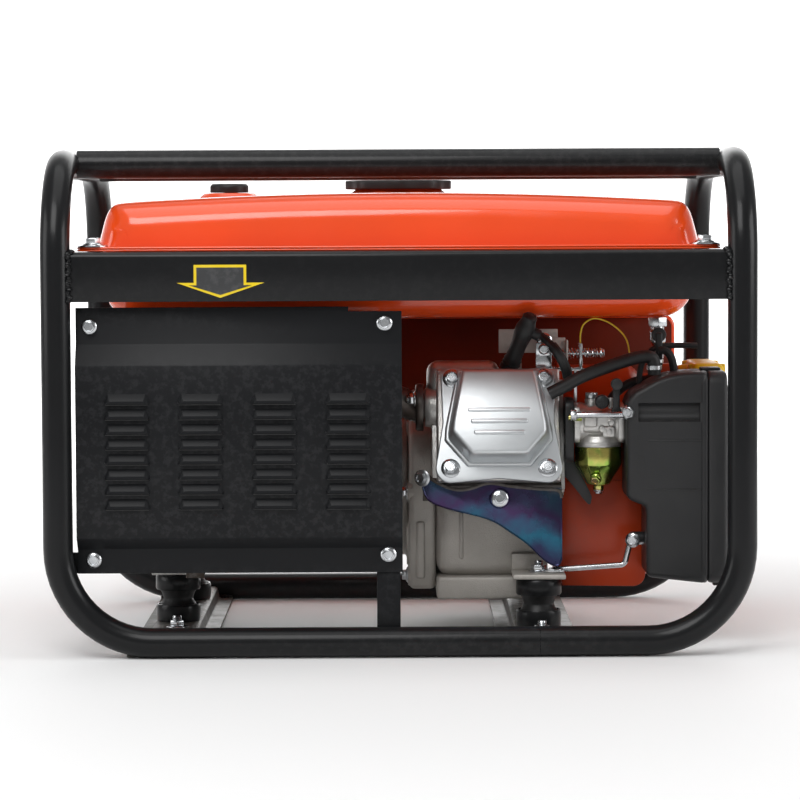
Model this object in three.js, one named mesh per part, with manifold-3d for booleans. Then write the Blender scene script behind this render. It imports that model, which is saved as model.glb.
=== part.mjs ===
// Open-frame portable generator with a single-cylinder petrol engine.
// Millimetres, +Z up. X runs along the crankshaft, the front (muffler and carburettor side) faces -Y,
// and the origin is on the floor under the middle of the frame.
import * as THREE from 'three';
import { mergeVertices } from 'three/addons/utils/BufferGeometryUtils.js';
import Module from 'manifold-3d';

const wasm = await Module();
wasm.setup();

// ---------------------------------------------------------------- driving dimensions
const gap = 0.3; // clearance between pieces that touch

const frame = { length: 605, width: 435, height: 432, tubeRadius: 12.7, tubeWall: 1.8, bendRadius: 80 };
const seamX = 118; // butt weld between the two hoops in the bottom rails
const topRailY = 105; // top rails, measured from the middle plane
const tankRail = { drop: 88, height: 42, sheet: 3, flange: 30, setBack: 6.5 };
const channel = { leftX: -198, rightX: 121, width: 70, crown: 39, height: 14, sheet: 2.5 };
const mount = { radius: 20, rubber: 13, top: 57, stud: 4, nut: 7.5, footSheet: 4.7 };

const crank = { y: 15, z: 137, radius: 12.5 };
const cylinder = { x: 86, tilt: 20, bore: 34, core: 47, deck: 108, headTop: 150, halfX: 58, halfV: 50 };
const crankcase = { left: 32, right: 130, front: -88, rear: 108, bottom: 35, top: 222, wall: 8 };
const cover = { flange: 4, dome: 24, halfX: 55, halfV: 51.5, boltX: 40, boltV: 40.7 };
const blower = { left: 142, right: 219, radius: 100, wall: 2, mouth: 64 };
const recoil = { right: 262, radius: 92, wall: 2.5, pulley: 58, groove: 50, axle: 8 };
const grip = { y: -35, z: 232, left: 258, right: 288, length: 90, height: 20 };
const alternator = { left: -250, bell: 80, stator: 110, radius: 86, wall: 4, bore: 60, airGap: 2 };

const shield = { endGap: 3.1, right: 2, bottom: 71, top: 297, flange: 25, lift: 10, sheet: 1.5 };
const louvre = { columns: 4, rows: 8, width: 39, height: 9.8, pitchX: 62.3, pitchZ: 12.7, firstX: -230.5 };
const muffler = { left: -262, right: -10, front: -184, rear: -92, bottom: 82, top: 274, wall: 2 };

const tank = { crown: 49, endDrop: 11, lean: 14, sheet: 1.8, floor: 283.3, wallInset: 20, frontY: -108, rearY: 168 };
const filler = { radius: 34, capRadius: 48, capHeight: 20 };
const gauge = { x: -153, radius: 17.5, bore: 12, boss: 26, height: 8, arm: 66, rest: 45, swing: 37 };
const fuelValve = { x: 228, y: -84, radius: 7, hex: 9 };

const carb = { left: 152, right: 196, y: -110, z: 192, throat: 11, body: 18, flangeHalf: 17, bowlX: 178, bowl: 20.5 };
const airBox = { left: 196, right: 266, coverRight: 283, front: -150, rear: -88, bottom: 54, top: 238, wall: 3 };
const panel = { left: -30, right: 262, depth: 75, bottom: 178, top: 279, sheet: 2, socket: 19 };

// ---------------------------------------------------------------- sizes worked out from them
const tubeX = frame.length / 2 - frame.tubeRadius;
const tubeY = frame.width / 2 - frame.tubeRadius;
const topZ = frame.height - frame.tubeRadius;
const cope = frame.tubeRadius + gap + 0.1; // radius that clears a frame tube
const railTop = frame.height - tankRail.drop;
const seamZ = railTop + gap; // underside of the tank flange
const shieldY = -(tubeY + 1.2); // outer face of the muffler shield
const shieldLeft = -(tubeX - frame.tubeRadius - shield.endGap);
const flangeY = shieldY + shield.lift; // outer face of its flanges
const strapY = flangeY + shield.sheet + gap; // front of the strap and the tab behind it
const panelFace = tubeY - 1.8;
const footTop = mount.top + mount.footSheet;
const mountY = {
  leftFront: -65,
  leftRear: 95,
  rightFront: crankcase.front - mount.radius - 10,
  rightRear: crankcase.rear + mount.radius + 6,
};
const headDeck = cylinder.deck + gap;

// ---------------------------------------------------------------- shape helpers
function solid(geometry) {
  const source = geometry.index ? geometry.toNonIndexed() : geometry;
  const bare = new THREE.BufferGeometry().setAttribute('position', source.getAttribute('position'));
  const merged = mergeVertices(bare, 1e-4);
  return new wasm.Manifold(new wasm.Mesh({
    numProp: 3,
    vertProperties: merged.getAttribute('position').array,
    triVerts: new Uint32Array(merged.index.array),
  }));
}

function geometryOf(body) {
  const mesh = body.getMesh();
  const geometry = new THREE.BufferGeometry();
  geometry.setAttribute('position', new THREE.BufferAttribute(new Float32Array(mesh.vertProperties), 3));
  geometry.setIndex(new THREE.BufferAttribute(new Uint32Array(mesh.triVerts), 1));
  return geometry;
}

const join = (...geometries) => geometryOf(geometries.map(solid).reduce((whole, next) => whole.add(next)));
const cut = (base, ...tools) => geometryOf(
  tools.map(solid).reduce((whole, tool) => whole.subtract(tool), solid(base)));

function block(x0, x1, y0, y1, z0, z1) {
  return new THREE.BoxGeometry(x1 - x0, y1 - y0, z1 - z0)
    .translate((x0 + x1) / 2, (y0 + y1) / 2, (z0 + z1) / 2);
}

// A rod along 'x', 'y' or 'z' from one end to the other, centred on the two other coordinates.
function rod(axis, radius, from, to, a, b, sides = 12, endRadius = radius) {
  const geometry = new THREE.CylinderGeometry(endRadius, radius, to - from, sides);
  const middle = (from + to) / 2;
  if (axis === 'x') return geometry.rotateZ(-Math.PI / 2).translate(middle, a, b);
  if (axis === 'z') return geometry.rotateX(Math.PI / 2).translate(a, b, middle);
  return geometry.translate(a, middle, b);
}

// A closed outline of [radius, distance] points turned about an axis along 'x' or 'z'.
function turned(axis, outline, a, b, segments = 16) {
  const area = outline.reduce((sum, [r, h], i) => {
    const [nextR, nextH] = outline[(i + 1) % outline.length];
    return sum + r * nextH - nextR * h;
  }, 0);
  const points = (area < 0 ? [...outline].reverse() : outline).map(([r, h]) => new THREE.Vector2(r, h));
  const onAxis = points.some((p) => p.x === 0);
  if (!onAxis) points.push(points[0].clone());
  while (onAxis && points[0].x !== 0) points.push(points.shift());
  if (onAxis && points[points.length - 1].x !== 0) points.push(points.shift());
  const geometry = new THREE.LatheGeometry(points, segments);
  if (axis === 'x') return geometry.rotateZ(-Math.PI / 2).translate(0, a, b);
  return geometry.rotateX(Math.PI / 2).translate(a, b, 0);
}

const outline = (points) => new THREE.Shape(points.map(([u, v]) => new THREE.Vector2(u, v)));

function roundedRectangle(u0, u1, v0, v1, radius, steps = 3) {
  const corners = [[u1 - radius, v0 + radius, -90], [u1 - radius, v1 - radius, 0],
    [u0 + radius, v1 - radius, 90], [u0 + radius, v0 + radius, 180]];
  return corners.flatMap(([u, v, start]) => arc(u, v, radius, start, start + 90, steps));
}

function arc(u, v, radius, fromDegrees, toDegrees, steps) {
  return Array.from({ length: steps + 1 }, (_, i) => {
    const angle = THREE.MathUtils.degToRad(fromDegrees + (toDegrees - fromDegrees) * i / steps);
    return [u + radius * Math.cos(angle), v + radius * Math.sin(angle)];
  });
}

// Prisms: an outline in YZ run along X, in XZ run along Y, or in XY run along Z.
function prism(axis, points, from, to, bevel = {}) {
  const thickness = bevel.bevelThickness || 0;
  const options = { depth: to - from - 2 * thickness, bevelEnabled: false, curveSegments: 8, ...bevel };
  const geometry = new THREE.ExtrudeGeometry(outline(points), options).translate(0, 0, thickness);
  const [X, Y, Z] = [new THREE.Vector3(1, 0, 0), new THREE.Vector3(0, 1, 0), new THREE.Vector3(0, 0, 1)];
  const turn = new THREE.Matrix4();
  if (axis === 'x') turn.makeBasis(Y, Z, X).setPosition(from, 0, 0);
  if (axis === 'y') turn.makeBasis(X, Z, Y.clone().negate()).setPosition(0, to, 0);
  if (axis === 'z') turn.setPosition(0, 0, from);
  return geometry.applyMatrix4(turn);
}

// A route of straight runs and round bends. It has one station at each end of a run and a few in each bend.
class BentRoute extends THREE.Curve {
  constructor(corners, radius, bendSteps = 5) {
    super();
    this.stations = [];
    const points = corners.map((c) => new THREE.Vector3(...c));
    const last = points.length - 1;
    this.addStation(points[0], points[1].clone().sub(points[0]));
    for (let i = 1; i < last; i += 1) {
      const into = points[i].clone().sub(points[i - 1]).normalize();
      const out = points[i + 1].clone().sub(points[i]).normalize();
      const turn = into.angleTo(out);
      if (turn < 0.01) continue;
      const back = radius * Math.tan(turn / 2);
      const start = points[i].clone().addScaledVector(into, -back);
      const inward = out.clone().addScaledVector(into, -out.dot(into)).normalize();
      for (let k = 0; k <= bendSteps; k += 1) {
        const angle = turn * k / bendSteps;
        const place = start.clone().addScaledVector(into, radius * Math.sin(angle))
          .addScaledVector(inward, radius * (1 - Math.cos(angle)));
        const along = into.clone().multiplyScalar(Math.cos(angle)).addScaledVector(inward, Math.sin(angle));
        this.addStation(place, along);
      }
    }
    this.addStation(points[last], points[last].clone().sub(points[last - 1]));
  }

  addStation(place, along) {
    this.stations.push({ place: place.clone(), along: along.clone().normalize() });
  }

  station(u) {
    return this.stations[Math.round(u * (this.stations.length - 1))];
  }

  getPoint(u) {
    return this.station(u).place.clone();
  }

  getPointAt(u) {
    return this.station(u).place.clone();
  }

  getTangentAt(u) {
    return this.station(u).along.clone();
  }
}

function circle(radius, sides) {
  return arc(0, 0, radius, 0, 360 - 360 / sides, sides - 1);
}

function along(route, section, hole) {
  const shape = outline(section);
  if (hole) shape.holes.push(new THREE.Path(hole.map(([u, v]) => new THREE.Vector2(u, v))));
  return new THREE.ExtrudeGeometry(shape, { steps: route.stations.length - 1, extrudePath: route });
}

const pipe = (corners, radius, bend, sides = 10, steps = 3) =>
  along(new BentRoute(corners, bend, steps), circle(radius, sides));

// Pieces of the tilted cylinder are drawn with X across, V up the bore's side and W out along the bore.
const tilt = THREE.MathUtils.degToRad(cylinder.tilt);
const cylinderBasis = new THREE.Matrix4().makeBasis(
  new THREE.Vector3(1, 0, 0),
  new THREE.Vector3(0, Math.sin(tilt), Math.cos(tilt)),
  new THREE.Vector3(0, -Math.cos(tilt), Math.sin(tilt)),
).setPosition(cylinder.x, crank.y, crank.z);
const tilted = (geometry) => geometry.applyMatrix4(cylinderBasis);
const tiltedPoint = (x, v, w) => new THREE.Vector3(x, v, w).applyMatrix4(cylinderBasis);

// ---------------------------------------------------------------- materials
const finish = (color, roughness, metalness) => new THREE.MeshStandardMaterial({ color, roughness, metalness });
const paint = {
  frameBlack: finish(0x101113, 0.35, 0.2),
  shieldBlack: finish(0x17181a, 0.45, 0.3),
  orange: finish(0xf04718, 0.25, 0.0),
  castAluminium: finish(0xb9b8b4, 0.45, 0.9),
  sandCast: finish(0x9a948c, 0.7, 0.7),
  zinc: finish(0xc9ccd0, 0.3, 1.0),
  brass: finish(0xb9ad5b, 0.35, 1.0),
  plastic: finish(0x141415, 0.5, 0.0),
  rubber: finish(0x0d0d0e, 0.85, 0.0),
  heatTint: finish(0x30406e, 0.35, 0.9),
  steel: finish(0x77797c, 0.5, 0.9),
  copper: finish(0x8a4a24, 0.5, 0.8),
  yellow: finish(0xe8b400, 0.4, 0.0),
  foam: finish(0x3a3a3c, 0.95, 0.0),
  redKnob: finish(0xb01818, 0.4, 0.0),
};

const generator = new THREE.Group();
function add(name, geometry, material) {
  const mesh = new THREE.Mesh(geometry, material);
  mesh.name = name;
  generator.add(mesh);
}

// ---------------------------------------------------------------- frame
const uprightCopes = (height) => [-1, 1].flatMap((sx) => [-1, 1].map(
  (sy) => rod('z', cope, -1, height, sx * tubeX, sy * tubeY, 24)));

function bentFrameTube(corners) {
  return along(new BentRoute(corners, frame.bendRadius), circle(frame.tubeRadius, 12),
    circle(frame.tubeRadius - frame.tubeWall, 6));
}
// Corners of half a hoop: from the seam along a bottom rail and up to its top corner.
function halfHoop(side, sy) {
  const x = side * tubeX;
  return [[seamX + side * gap / 2, sy * tubeY, frame.tubeRadius], [x, sy * tubeY, frame.tubeRadius],
    [x, sy * tubeY, topZ]];
}

const shieldTab = block(-tubeX + 1, shieldLeft + 24, strapY, strapY + 3, shield.bottom, shield.bottom + 18);
const tabCore = rod('z', frame.tubeRadius - 1, 0, frame.height, -tubeX, -tubeY, 12);
const leftHoop = bentFrameTube([...halfHoop(-1, -1), ...halfHoop(-1, 1).reverse()]);
add('frame_hoop_left', join(leftHoop, cut(shieldTab, tabCore)), paint.frameBlack);
const rightHalf = (sy) => bentFrameTube([...halfHoop(1, sy), [tubeX, sy * gap / 2, topZ]]);
add('frame_hoop_right_front', rightHalf(-1), paint.frameBlack);
add('frame_hoop_right_rear', rightHalf(1), paint.frameBlack);

function topRail(y) {
  const tube = along(new BentRoute([[-tubeX, y, topZ], [tubeX, y, topZ]], 1), circle(frame.tubeRadius, 12),
    circle(frame.tubeRadius - frame.tubeWall, 8));
  const hoops = [-1, 1].map((side) => rod('y', cope, y - 30, y + 30, side * tubeX, topZ, 24));
  return cut(tube, ...hoops);
}
add('top_rail_front', topRail(-topRailY), paint.frameBlack);
add('top_rail_rear', topRail(topRailY), paint.frameBlack);

function tankRailPiece(side) {
  const face = side * (tubeY + frame.tubeRadius - tankRail.setBack);
  const inside = face - side * tankRail.sheet;
  const ledge = face - side * tankRail.flange;
  const half = tubeX - frame.tubeRadius;
  const web = block(-tubeX + 4, tubeX - 4, Math.min(face, inside), Math.max(face, inside),
    railTop - tankRail.height, railTop);
  const shelf = block(-half, half, Math.min(face, ledge), Math.max(face, ledge), railTop - tankRail.sheet, railTop);
  return cut(join(web, shelf), ...uprightCopes(frame.height - frame.bendRadius));
}
add('tank_rail_front', tankRailPiece(-1), paint.frameBlack);
add('tank_rail_rear', tankRailPiece(1), paint.frameBlack);

function crossChannel(x) {
  const { width, crown, height, sheet } = channel;
  const half = [[width / 2, 0], [width / 2, sheet], [crown / 2 + sheet, sheet], [crown / 2, height]];
  const inner = [[crown / 2 - sheet, height - sheet], [crown / 2, 0]];
  const mirror = (points) => [...points].reverse().map(([u, v]) => [-u, v]);
  const section = [...half, ...mirror(half), ...mirror(inner), ...inner].map(([u, v]) => [u + x, v]);
  const bar = prism('y', section, -(tubeY - 3), tubeY - 3);
  return cut(bar, ...[-1, 1].map((side) => rod('x', cope, x - width, x + width, side * tubeY,
    frame.tubeRadius, 24)));
}
add('cross_channel_left', crossChannel(channel.leftX), paint.frameBlack);
add('cross_channel_right', crossChannel(channel.rightX), paint.frameBlack);

const strap = cut(
  block(-20, 0, strapY - gap - shield.sheet / 2, strapY + 3, frame.tubeRadius - 2, shield.bottom + shield.flange),
  rod('x', cope, -30, 10, -tubeY, frame.tubeRadius, 24));

// ---------------------------------------------------------------- rubber mounts
function rubberMount(x, y) {
  const foot = channel.height + gap;
  const { radius, rubber, top, stud, nut } = mount;
  const nutLow = footTop + gap;
  return turned('z', [[0, foot], [radius - 1, foot], [radius - 1, foot + 15], [rubber, foot + 15],
    [rubber, top - 15], [radius, top - 15], [radius, top - gap], [stud, top - gap], [stud, nutLow],
    [nut, nutLow], [nut, nutLow + 6.5], [stud, nutLow + 6.5], [stud, nutLow + 9.5], [0, nutLow + 9.5]], x, y, 8);
}
add('rubber_mount_left_front', rubberMount(channel.leftX, mountY.leftFront), paint.rubber);
add('rubber_mount_left_rear', rubberMount(channel.leftX, mountY.leftRear), paint.rubber);
add('rubber_mount_right_front', rubberMount(channel.rightX, mountY.rightFront), paint.rubber);
add('rubber_mount_right_rear', rubberMount(channel.rightX, mountY.rightRear), paint.rubber);
const studHole = (x, y) => rod('z', mount.stud + 0.6, mount.top - 4, footTop + 4, x, y, 12);

// ---------------------------------------------------------------- fuel tank
const tankHalf = tubeX - frame.tubeRadius - 4; // flange half length
const tankDepth = tubeY - 4.8; // flange half width
const shellHalf = tankHalf - tank.wallInset;
const shellTop = seamZ + tank.crown;

// Front outline of the upper shell: leaning end walls and a crowned top, drawn well below the seam.
function upperOutline(inset) {
  const half = shellHalf - inset;
  const edge = shellTop - tank.endDrop - inset;
  const points = [[half + 4, seamZ - 40], [half, seamZ], [half - 3, seamZ + 14]];
  points.push([half - 8, edge - 10], [half - tank.lean, edge - 1]);
  const top = [0.75, 0.4, 0].map((share) => {
    const u = (half - tank.lean) * share;
    return [u, edge + tank.endDrop * (1 - share * share)];
  });
  const right = [...points, ...top];
  const left = right.slice(0, -1).reverse().map(([u, v]) => [-u, v]);
  return [...right, ...left];
}

const tankY = { low: -(tankDepth - tank.wallInset), high: tankDepth - tank.wallInset };
// A run along Y with rounded ends. Its outline grows by the end radius on the way in.
function roundedPrism(outlineAt, inset, from, to, size, thickness) {
  return prism('y', outlineAt(inset + size), from + inset, to - inset,
    { bevelEnabled: true, bevelThickness: thickness, bevelSize: size, bevelSegments: 3 });
}

const belowSeam = block(-400, 400, -400, 400, seamZ - 200, seamZ + tank.sheet + gap);
const upperFlange = prism('z', roundedRectangle(-tankHalf, tankHalf, -tankDepth, tankDepth, 14),
  seamZ + tank.sheet + gap, seamZ + 2 * tank.sheet + gap);
const upperOuter = cut(roundedPrism(upperOutline, 0, tankY.low, tankY.high, 22, 26), belowSeam);
const upperInner = roundedPrism(upperOutline, tank.sheet, tankY.low, tankY.high, 22, 26);
const neckTop = shellTop + 4;
const neck = turned('z', [[0, shellTop - 12], [filler.radius + 14, shellTop - 12], [filler.radius + 12, shellTop - 1],
  [filler.radius + 3, neckTop], [filler.radius + 3, neckTop + 4], [0, neckTop + 4]], 0, 0, 16);
const neckBore = rod('z', filler.radius, shellTop - 30, neckTop + 10, 0, 0, 16);
const gaugeTop = shellTop + 1.5;
const gaugeBoss = rod('z', gauge.boss, shellTop - 12, gaugeTop, gauge.x, 0, 14, gauge.boss - 5);
const gaugeBore = rod('z', gauge.bore, shellTop - 30, gaugeTop + 10, gauge.x, 0, 12);
const upperSkin = cut(join(upperOuter, upperFlange, neck, gaugeBoss), cut(upperInner, gaugeBoss, neck), neckBore,
  gaugeBore);
const tankBolts = [-1, 1].flatMap((sx) => [-1, 1].map((sy) => [sx * (tankHalf - 14), sy * (tankDepth - 10)]));
const boltHoles = tankBolts.map(([x, y]) => rod('z', 4.5, seamZ - 10, seamZ + 20, x, y, 8));
add('tank_upper_shell', cut(upperSkin, ...boltHoles), paint.orange);

function lowerOutline(inset) {
  const half = shellHalf + 2 - inset;
  const low = tank.floor + inset;
  const radius = Math.min(28, seamZ - 20 - tank.floor) - inset;
  const bend = Math.max(seamZ - 20, low + radius + 2); // where the end wall starts to turn under
  const right = [[half + 2, seamZ + 40], [half, bend], ...arc(half - radius, low + radius, radius, 0, -90, 3)];
  return [...right, ...[...right].reverse().map(([u, v]) => [-u, v])];
}
const aboveSeam = block(-400, 400, -400, 400, seamZ + tank.sheet, seamZ + 200);
const panShell = cut(roundedPrism(lowerOutline, 0, tank.frontY, tank.rearY, 20, 24), aboveSeam);
const panInner = roundedPrism(lowerOutline, tank.sheet, tank.frontY, tank.rearY, 20, 24);
const panFlange = prism('z', roundedRectangle(-tankHalf, tankHalf, -tankDepth, tankDepth, 14), seamZ,
  seamZ + tank.sheet);
const valveHole = rod('z', 4, tank.floor - 10, tank.floor + 10, fuelValve.x, fuelValve.y, 8);
add('tank_lower_shell', cut(join(panShell, panFlange), panInner, valveHole, ...boltHoles), paint.orange);

// ---------------------------------------------------------------- filler cap and gauge
const gasketLow = neckTop + 4 + gap;
add('cap_gasket', turned('z', [[filler.radius - 6, gasketLow], [filler.radius + 2, gasketLow],
  [filler.radius + 2, gasketLow + 3], [filler.radius - 6, gasketLow + 3]], 0, 0, 20), paint.rubber);

function lobedCap() {
  const lobes = 8;
  const points = Array.from({ length: lobes * 4 }, (_, i) => {
    const angle = 2 * Math.PI * i / (lobes * 4);
    const radius = filler.capRadius - 2.5 * (1 - Math.cos(lobes * angle)) / 2;
    return [radius * Math.cos(angle), radius * Math.sin(angle)];
  });
  const low = shellTop + 4;
  const top = low + filler.capHeight;
  const body = prism('z', points, low, top - 4);
  const crown = rod('z', filler.capRadius - 4, top - 5, top, 0, 0, 20, filler.capRadius - 9);
  const hollow = rod('z', filler.radius + 4.5, low - 1, gasketLow + 3 + gap, 0, 0, 20);
  return cut(join(body, crown), hollow);
}
add('fuel_cap', lobedCap(), paint.plastic);

const bezelLow = gaugeTop + gap;
const floatPivotZ = shellTop - 16;
const bezelRing = turned('z', [[gauge.bore, bezelLow], [gauge.radius, bezelLow],
  [gauge.radius, bezelLow + gauge.height - 2], [gauge.radius - 2, bezelLow + gauge.height],
  [gauge.bore, bezelLow + gauge.height]], gauge.x, 0, 16);
const floatLug = (side) => block(gauge.x - 4, gauge.x + 4, side > 0 ? 8.5 : -10.5, side > 0 ? 10.5 : -8.5,
  floatPivotZ - 3, bezelLow + 3);
const lugFoot = (side) => block(gauge.x - 4, gauge.x + 4, side > 0 ? 8.5 : -14, side > 0 ? 14 : -8.5,
  bezelLow, bezelLow + 3);
add('fuel_gauge_bezel', join(bezelRing, floatLug(-1), floatLug(1), lugFoot(-1), lugFoot(1)), paint.plastic);

// Float arm: its pin turns in the bezel's lugs, a float hangs from it at the empty stop, and a pointer
// stands up into the gauge window and leans by half the swing.
const floatTurn = (geometry, degrees) => geometry.rotateY(THREE.MathUtils.degToRad(degrees))
  .translate(gauge.x, 0, floatPivotZ);
add('gauge_float', join(
  rod('y', 2, -8.5 + gap, 8.5 - gap, gauge.x, floatPivotZ, 8),
  floatTurn(block(0, gauge.arm - 6, -1.5, 1.5, -1.5, 1.5), gauge.rest),
  floatTurn(block(gauge.arm - 13, gauge.arm + 13, -9, 9, -7, 7), gauge.rest),
  floatTurn(block(-1.5, 1.5, -1.5, 1.5, 0, 21), gauge.swing / 2),
), paint.redKnob);

// ---------------------------------------------------------------- fuel valve and hose
const valveTop = tank.floor - gap;
const valveBody = join(
  rod('z', fuelValve.hex, valveTop - 8, valveTop, fuelValve.x, fuelValve.y, 6),
  rod('z', fuelValve.radius, valveTop - 24, valveTop - 7, fuelValve.x, fuelValve.y, 10),
  rod('y', 6, fuelValve.y - 10, fuelValve.y, fuelValve.x, valveTop - 15, 10),
  rod('z', 3, valveTop - 32, valveTop - 20, fuelValve.x, fuelValve.y, 8),
);
add('fuel_valve', valveBody, paint.zinc);
const leverY = fuelValve.y - 10 - gap;
add('fuel_valve_lever', join(
  rod('y', 6.5, leverY - 4, leverY, fuelValve.x, valveTop - 15, 10),
  block(fuelValve.x - 3, fuelValve.x + 3, leverY - 6, leverY - 2, valveTop - 37, valveTop - 15),
), paint.redKnob);

const hoseTop = valveTop - 32 - gap;
const carbInlet = { x: 180, y: -86, z: 190 };
add('fuel_hose', pipe([[fuelValve.x, fuelValve.y, hoseTop], [fuelValve.x, fuelValve.y, hoseTop - 16],
  [208, -80, hoseTop - 24], [192, -78, 216], [carbInlet.x, -76, 200], [carbInlet.x, -80, carbInlet.z],
  [carbInlet.x, carbInlet.y + gap, carbInlet.z]], 4.2, 3.2, 8, 2), paint.rubber);

// ---------------------------------------------------------------- engine castings
const caseOutline = [[crankcase.front, crankcase.bottom], [crankcase.rear, crankcase.bottom],
  [crankcase.rear, 185], [70, crankcase.top], [-15, crankcase.top], [-60, 190], [crankcase.front, 120]];
const hollowOutline = [[-66, 50], [crankcase.rear - crankcase.wall, 50], [crankcase.rear - crankcase.wall, 180],
  [66, crankcase.top - crankcase.wall], [-12, crankcase.top - crankcase.wall], [-52, 184], [-66, 150]];
const fin = (half, w) => block(-half, half, -cylinder.halfV, cylinder.halfV, w, w + 3);
const barrelHalf = cylinder.x - crankcase.left;
const barrel = tilted(join(
  rod('z', cylinder.core, 50, cylinder.deck, 0, 0, 14),
  block(-50, 50, -46, 46, cylinder.deck - 6, cylinder.deck),
  ...[78, 86, 94].map((w) => fin(barrelHalf, w)),
));
const bore = tilted(rod('z', cylinder.bore, 20, cylinder.deck + 5, 0, 0, 14));
const governorShaft = { x: 124, y: -26 };
const engineFoot = (y0, y1) => block(98, 144, y0, y1, mount.top, footTop);
const footWeb = (y0, y1) => block(98, 130, y0, y1, mount.top, footTop + 14);
const crankcaseBody = join(
  prism('x', caseOutline, crankcase.left, crankcase.right),
  barrel,
  rod('z', 8, crankcase.top - 15, crankcase.top, governorShaft.x, governorShaft.y, 12),
  engineFoot(mountY.rightFront - mount.radius, crankcase.front + 4),
  engineFoot(crankcase.rear - 4, mountY.rightRear + mount.radius),
  footWeb(crankcase.front - 8, crankcase.front + 4),
  footWeb(crankcase.rear - 4, crankcase.rear + 4),
  block(crankcase.left, crankcase.right, crankcase.front - 6, crankcase.rear + 4, crankcase.bottom,
    crankcase.bottom + 19),
);
const oilHole = { x: 60, z: 78, radius: 11 };
add('crankcase', cut(crankcaseBody,
  prism('x', hollowOutline, crankcase.left + crankcase.wall, crankcase.right - crankcase.wall),
  bore,
  rod('x', crank.radius + 4, crankcase.left - 5, crankcase.right + 5, crank.y, crank.z, 14),
  rod('y', oilHole.radius, crankcase.rear - 30, crankcase.rear + 20, oilHole.x, oilHole.z, 12),
  studHole(channel.rightX, mountY.rightFront),
  studHole(channel.rightX, mountY.rightRear)), paint.sandCast);

const coverOutline = [[-76, 42], [96, 42], [100, 60], [100, 176], [66, 212], [-20, 212], [-62, 180], [-80, 120],
  [-80, 60]];
const coverPocket = [[-66, 56], [86, 56], [86, 172], [60, 200], [-16, 200], [-54, 174], [-66, 118]];
add('crankcase_cover', cut(prism('x', coverOutline, 8, crankcase.left - gap),
  prism('x', coverPocket, 16, crankcase.left + 5),
  rod('x', crank.radius + 4, 0, 20, crank.y, crank.z, 16)), paint.sandCast);

const exhaustPort = { v: 26, w: 128 };
const head = join(
  block(-50, 50, -44, 44, headDeck, cylinder.headTop - gap),
  ...[headDeck, 119, 129].map((w) => fin(cylinder.halfX, w)),
  block(-cover.halfX, cover.halfX, -cover.halfV, cover.halfV, cylinder.headTop - 10, cylinder.headTop - gap),
  rod('x', 17, -64, -40, exhaustPort.v, exhaustPort.w, 14),
);
const plugAxis = new THREE.Vector3(0.08, -0.42, 0.9).normalize();
const plugBase = tiltedPoint(14, cylinder.halfV + 1, 132);
function leaning(geometry) {
  const turn = new THREE.Quaternion().setFromUnitVectors(new THREE.Vector3(0, 0, 1), plugAxis);
  return geometry.applyQuaternion(turn).translate(plugBase.x, plugBase.y, plugBase.z);
}
const chamber = rod('z', cylinder.bore - 2, headDeck - 5, headDeck + 8, 0, 0, 14);
add('cylinder_head', cut(tilted(cut(head, chamber)), leaning(rod('z', 9, -14, 20, 0, 0, 12))), paint.castAluminium);

const domeOutline = [[-40, -18], [-20, -38], [20, -38], [40, -18], [40, -8], [24, 40], [-24, 40], [-40, -8]];
const ear = (sx, sv) => rod('z', 13, cylinder.headTop, cylinder.headTop + cover.flange, sx * cover.boltX,
  sv * cover.boltV, 12);
const coverBolt = (sx, sv) => rod('z', 5.5, cylinder.headTop + 2, cylinder.headTop + cover.flange + 8,
  sx * cover.boltX, sv * cover.boltV, 6);
const earSigns = [[-1, -1], [1, -1], [1, 1], [-1, 1]];
const valveCover = join(
  prism('z', roundedRectangle(-cover.halfX + 4, cover.halfX - 4, -cover.halfV + 4, cover.halfV - 4, 14),
    cylinder.headTop, cylinder.headTop + cover.flange),
  ...earSigns.map(([sx, sv]) => ear(sx, sv)),
  ...earSigns.map(([sx, sv]) => coverBolt(sx, sv)),
  prism('z', domeOutline, cylinder.headTop, cylinder.headTop + cover.flange + cover.dome,
    { bevelEnabled: true, bevelThickness: 5, bevelSize: 4, bevelSegments: 2 }),
);
const coverHollow = prism('z', domeOutline, cylinder.headTop - 10, cylinder.headTop + cover.flange + cover.dome - 4);
add('valve_cover', tilted(cut(valveCover, coverHollow)), paint.castAluminium);

// ---------------------------------------------------------------- ignition
add('spark_plug', leaning(join(rod('z', 8.5, -13, 8, 0, 0, 6), rod('z', 5, 7, 14, 0, 0, 8))), paint.zinc);
add('spark_plug_boot', leaning(join(
  rod('z', 10.5, 14 + gap, 42, 0, 0, 12, 9),
  rod('z', 9, 41, 64, 0, 0, 12, 11),
)), paint.rubber);
const bootTop = new THREE.Vector3(0, 0, 58).applyQuaternion(
  new THREE.Quaternion().setFromUnitVectors(new THREE.Vector3(0, 0, 1), plugAxis)).add(plugBase);
add('ignition_lead', pipe([[bootTop.x + 11.5, bootTop.y, bootTop.z], [bootTop.x + 20, bootTop.y - 2, bootTop.z],
  [134, -126, 262], [144, -119, 240], [149, -108, 221.5], [149, -84, 221.5], [149, -54, 222]],
3.4, 7, 6, 2), paint.rubber);

// ---------------------------------------------------------------- exhaust
const mufflerY = (muffler.front + muffler.rear) / 2;
const portPoint = tiltedPoint(-64, exhaustPort.v, exhaustPort.w);
const inletY = portPoint.y - 6;
const inletZ = portPoint.z + 8;
add('exhaust_elbow', join(
  pipe([[portPoint.x - gap, portPoint.y, portPoint.z], [portPoint.x - 13, portPoint.y, portPoint.z],
    [muffler.right + 11, inletY, inletZ], [muffler.right + gap, inletY, inletZ]], 12, 13, 10, 2),
  rod('x', 21, portPoint.x - 8, portPoint.x - gap, portPoint.y, portPoint.z, 10),
), paint.steel);

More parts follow.
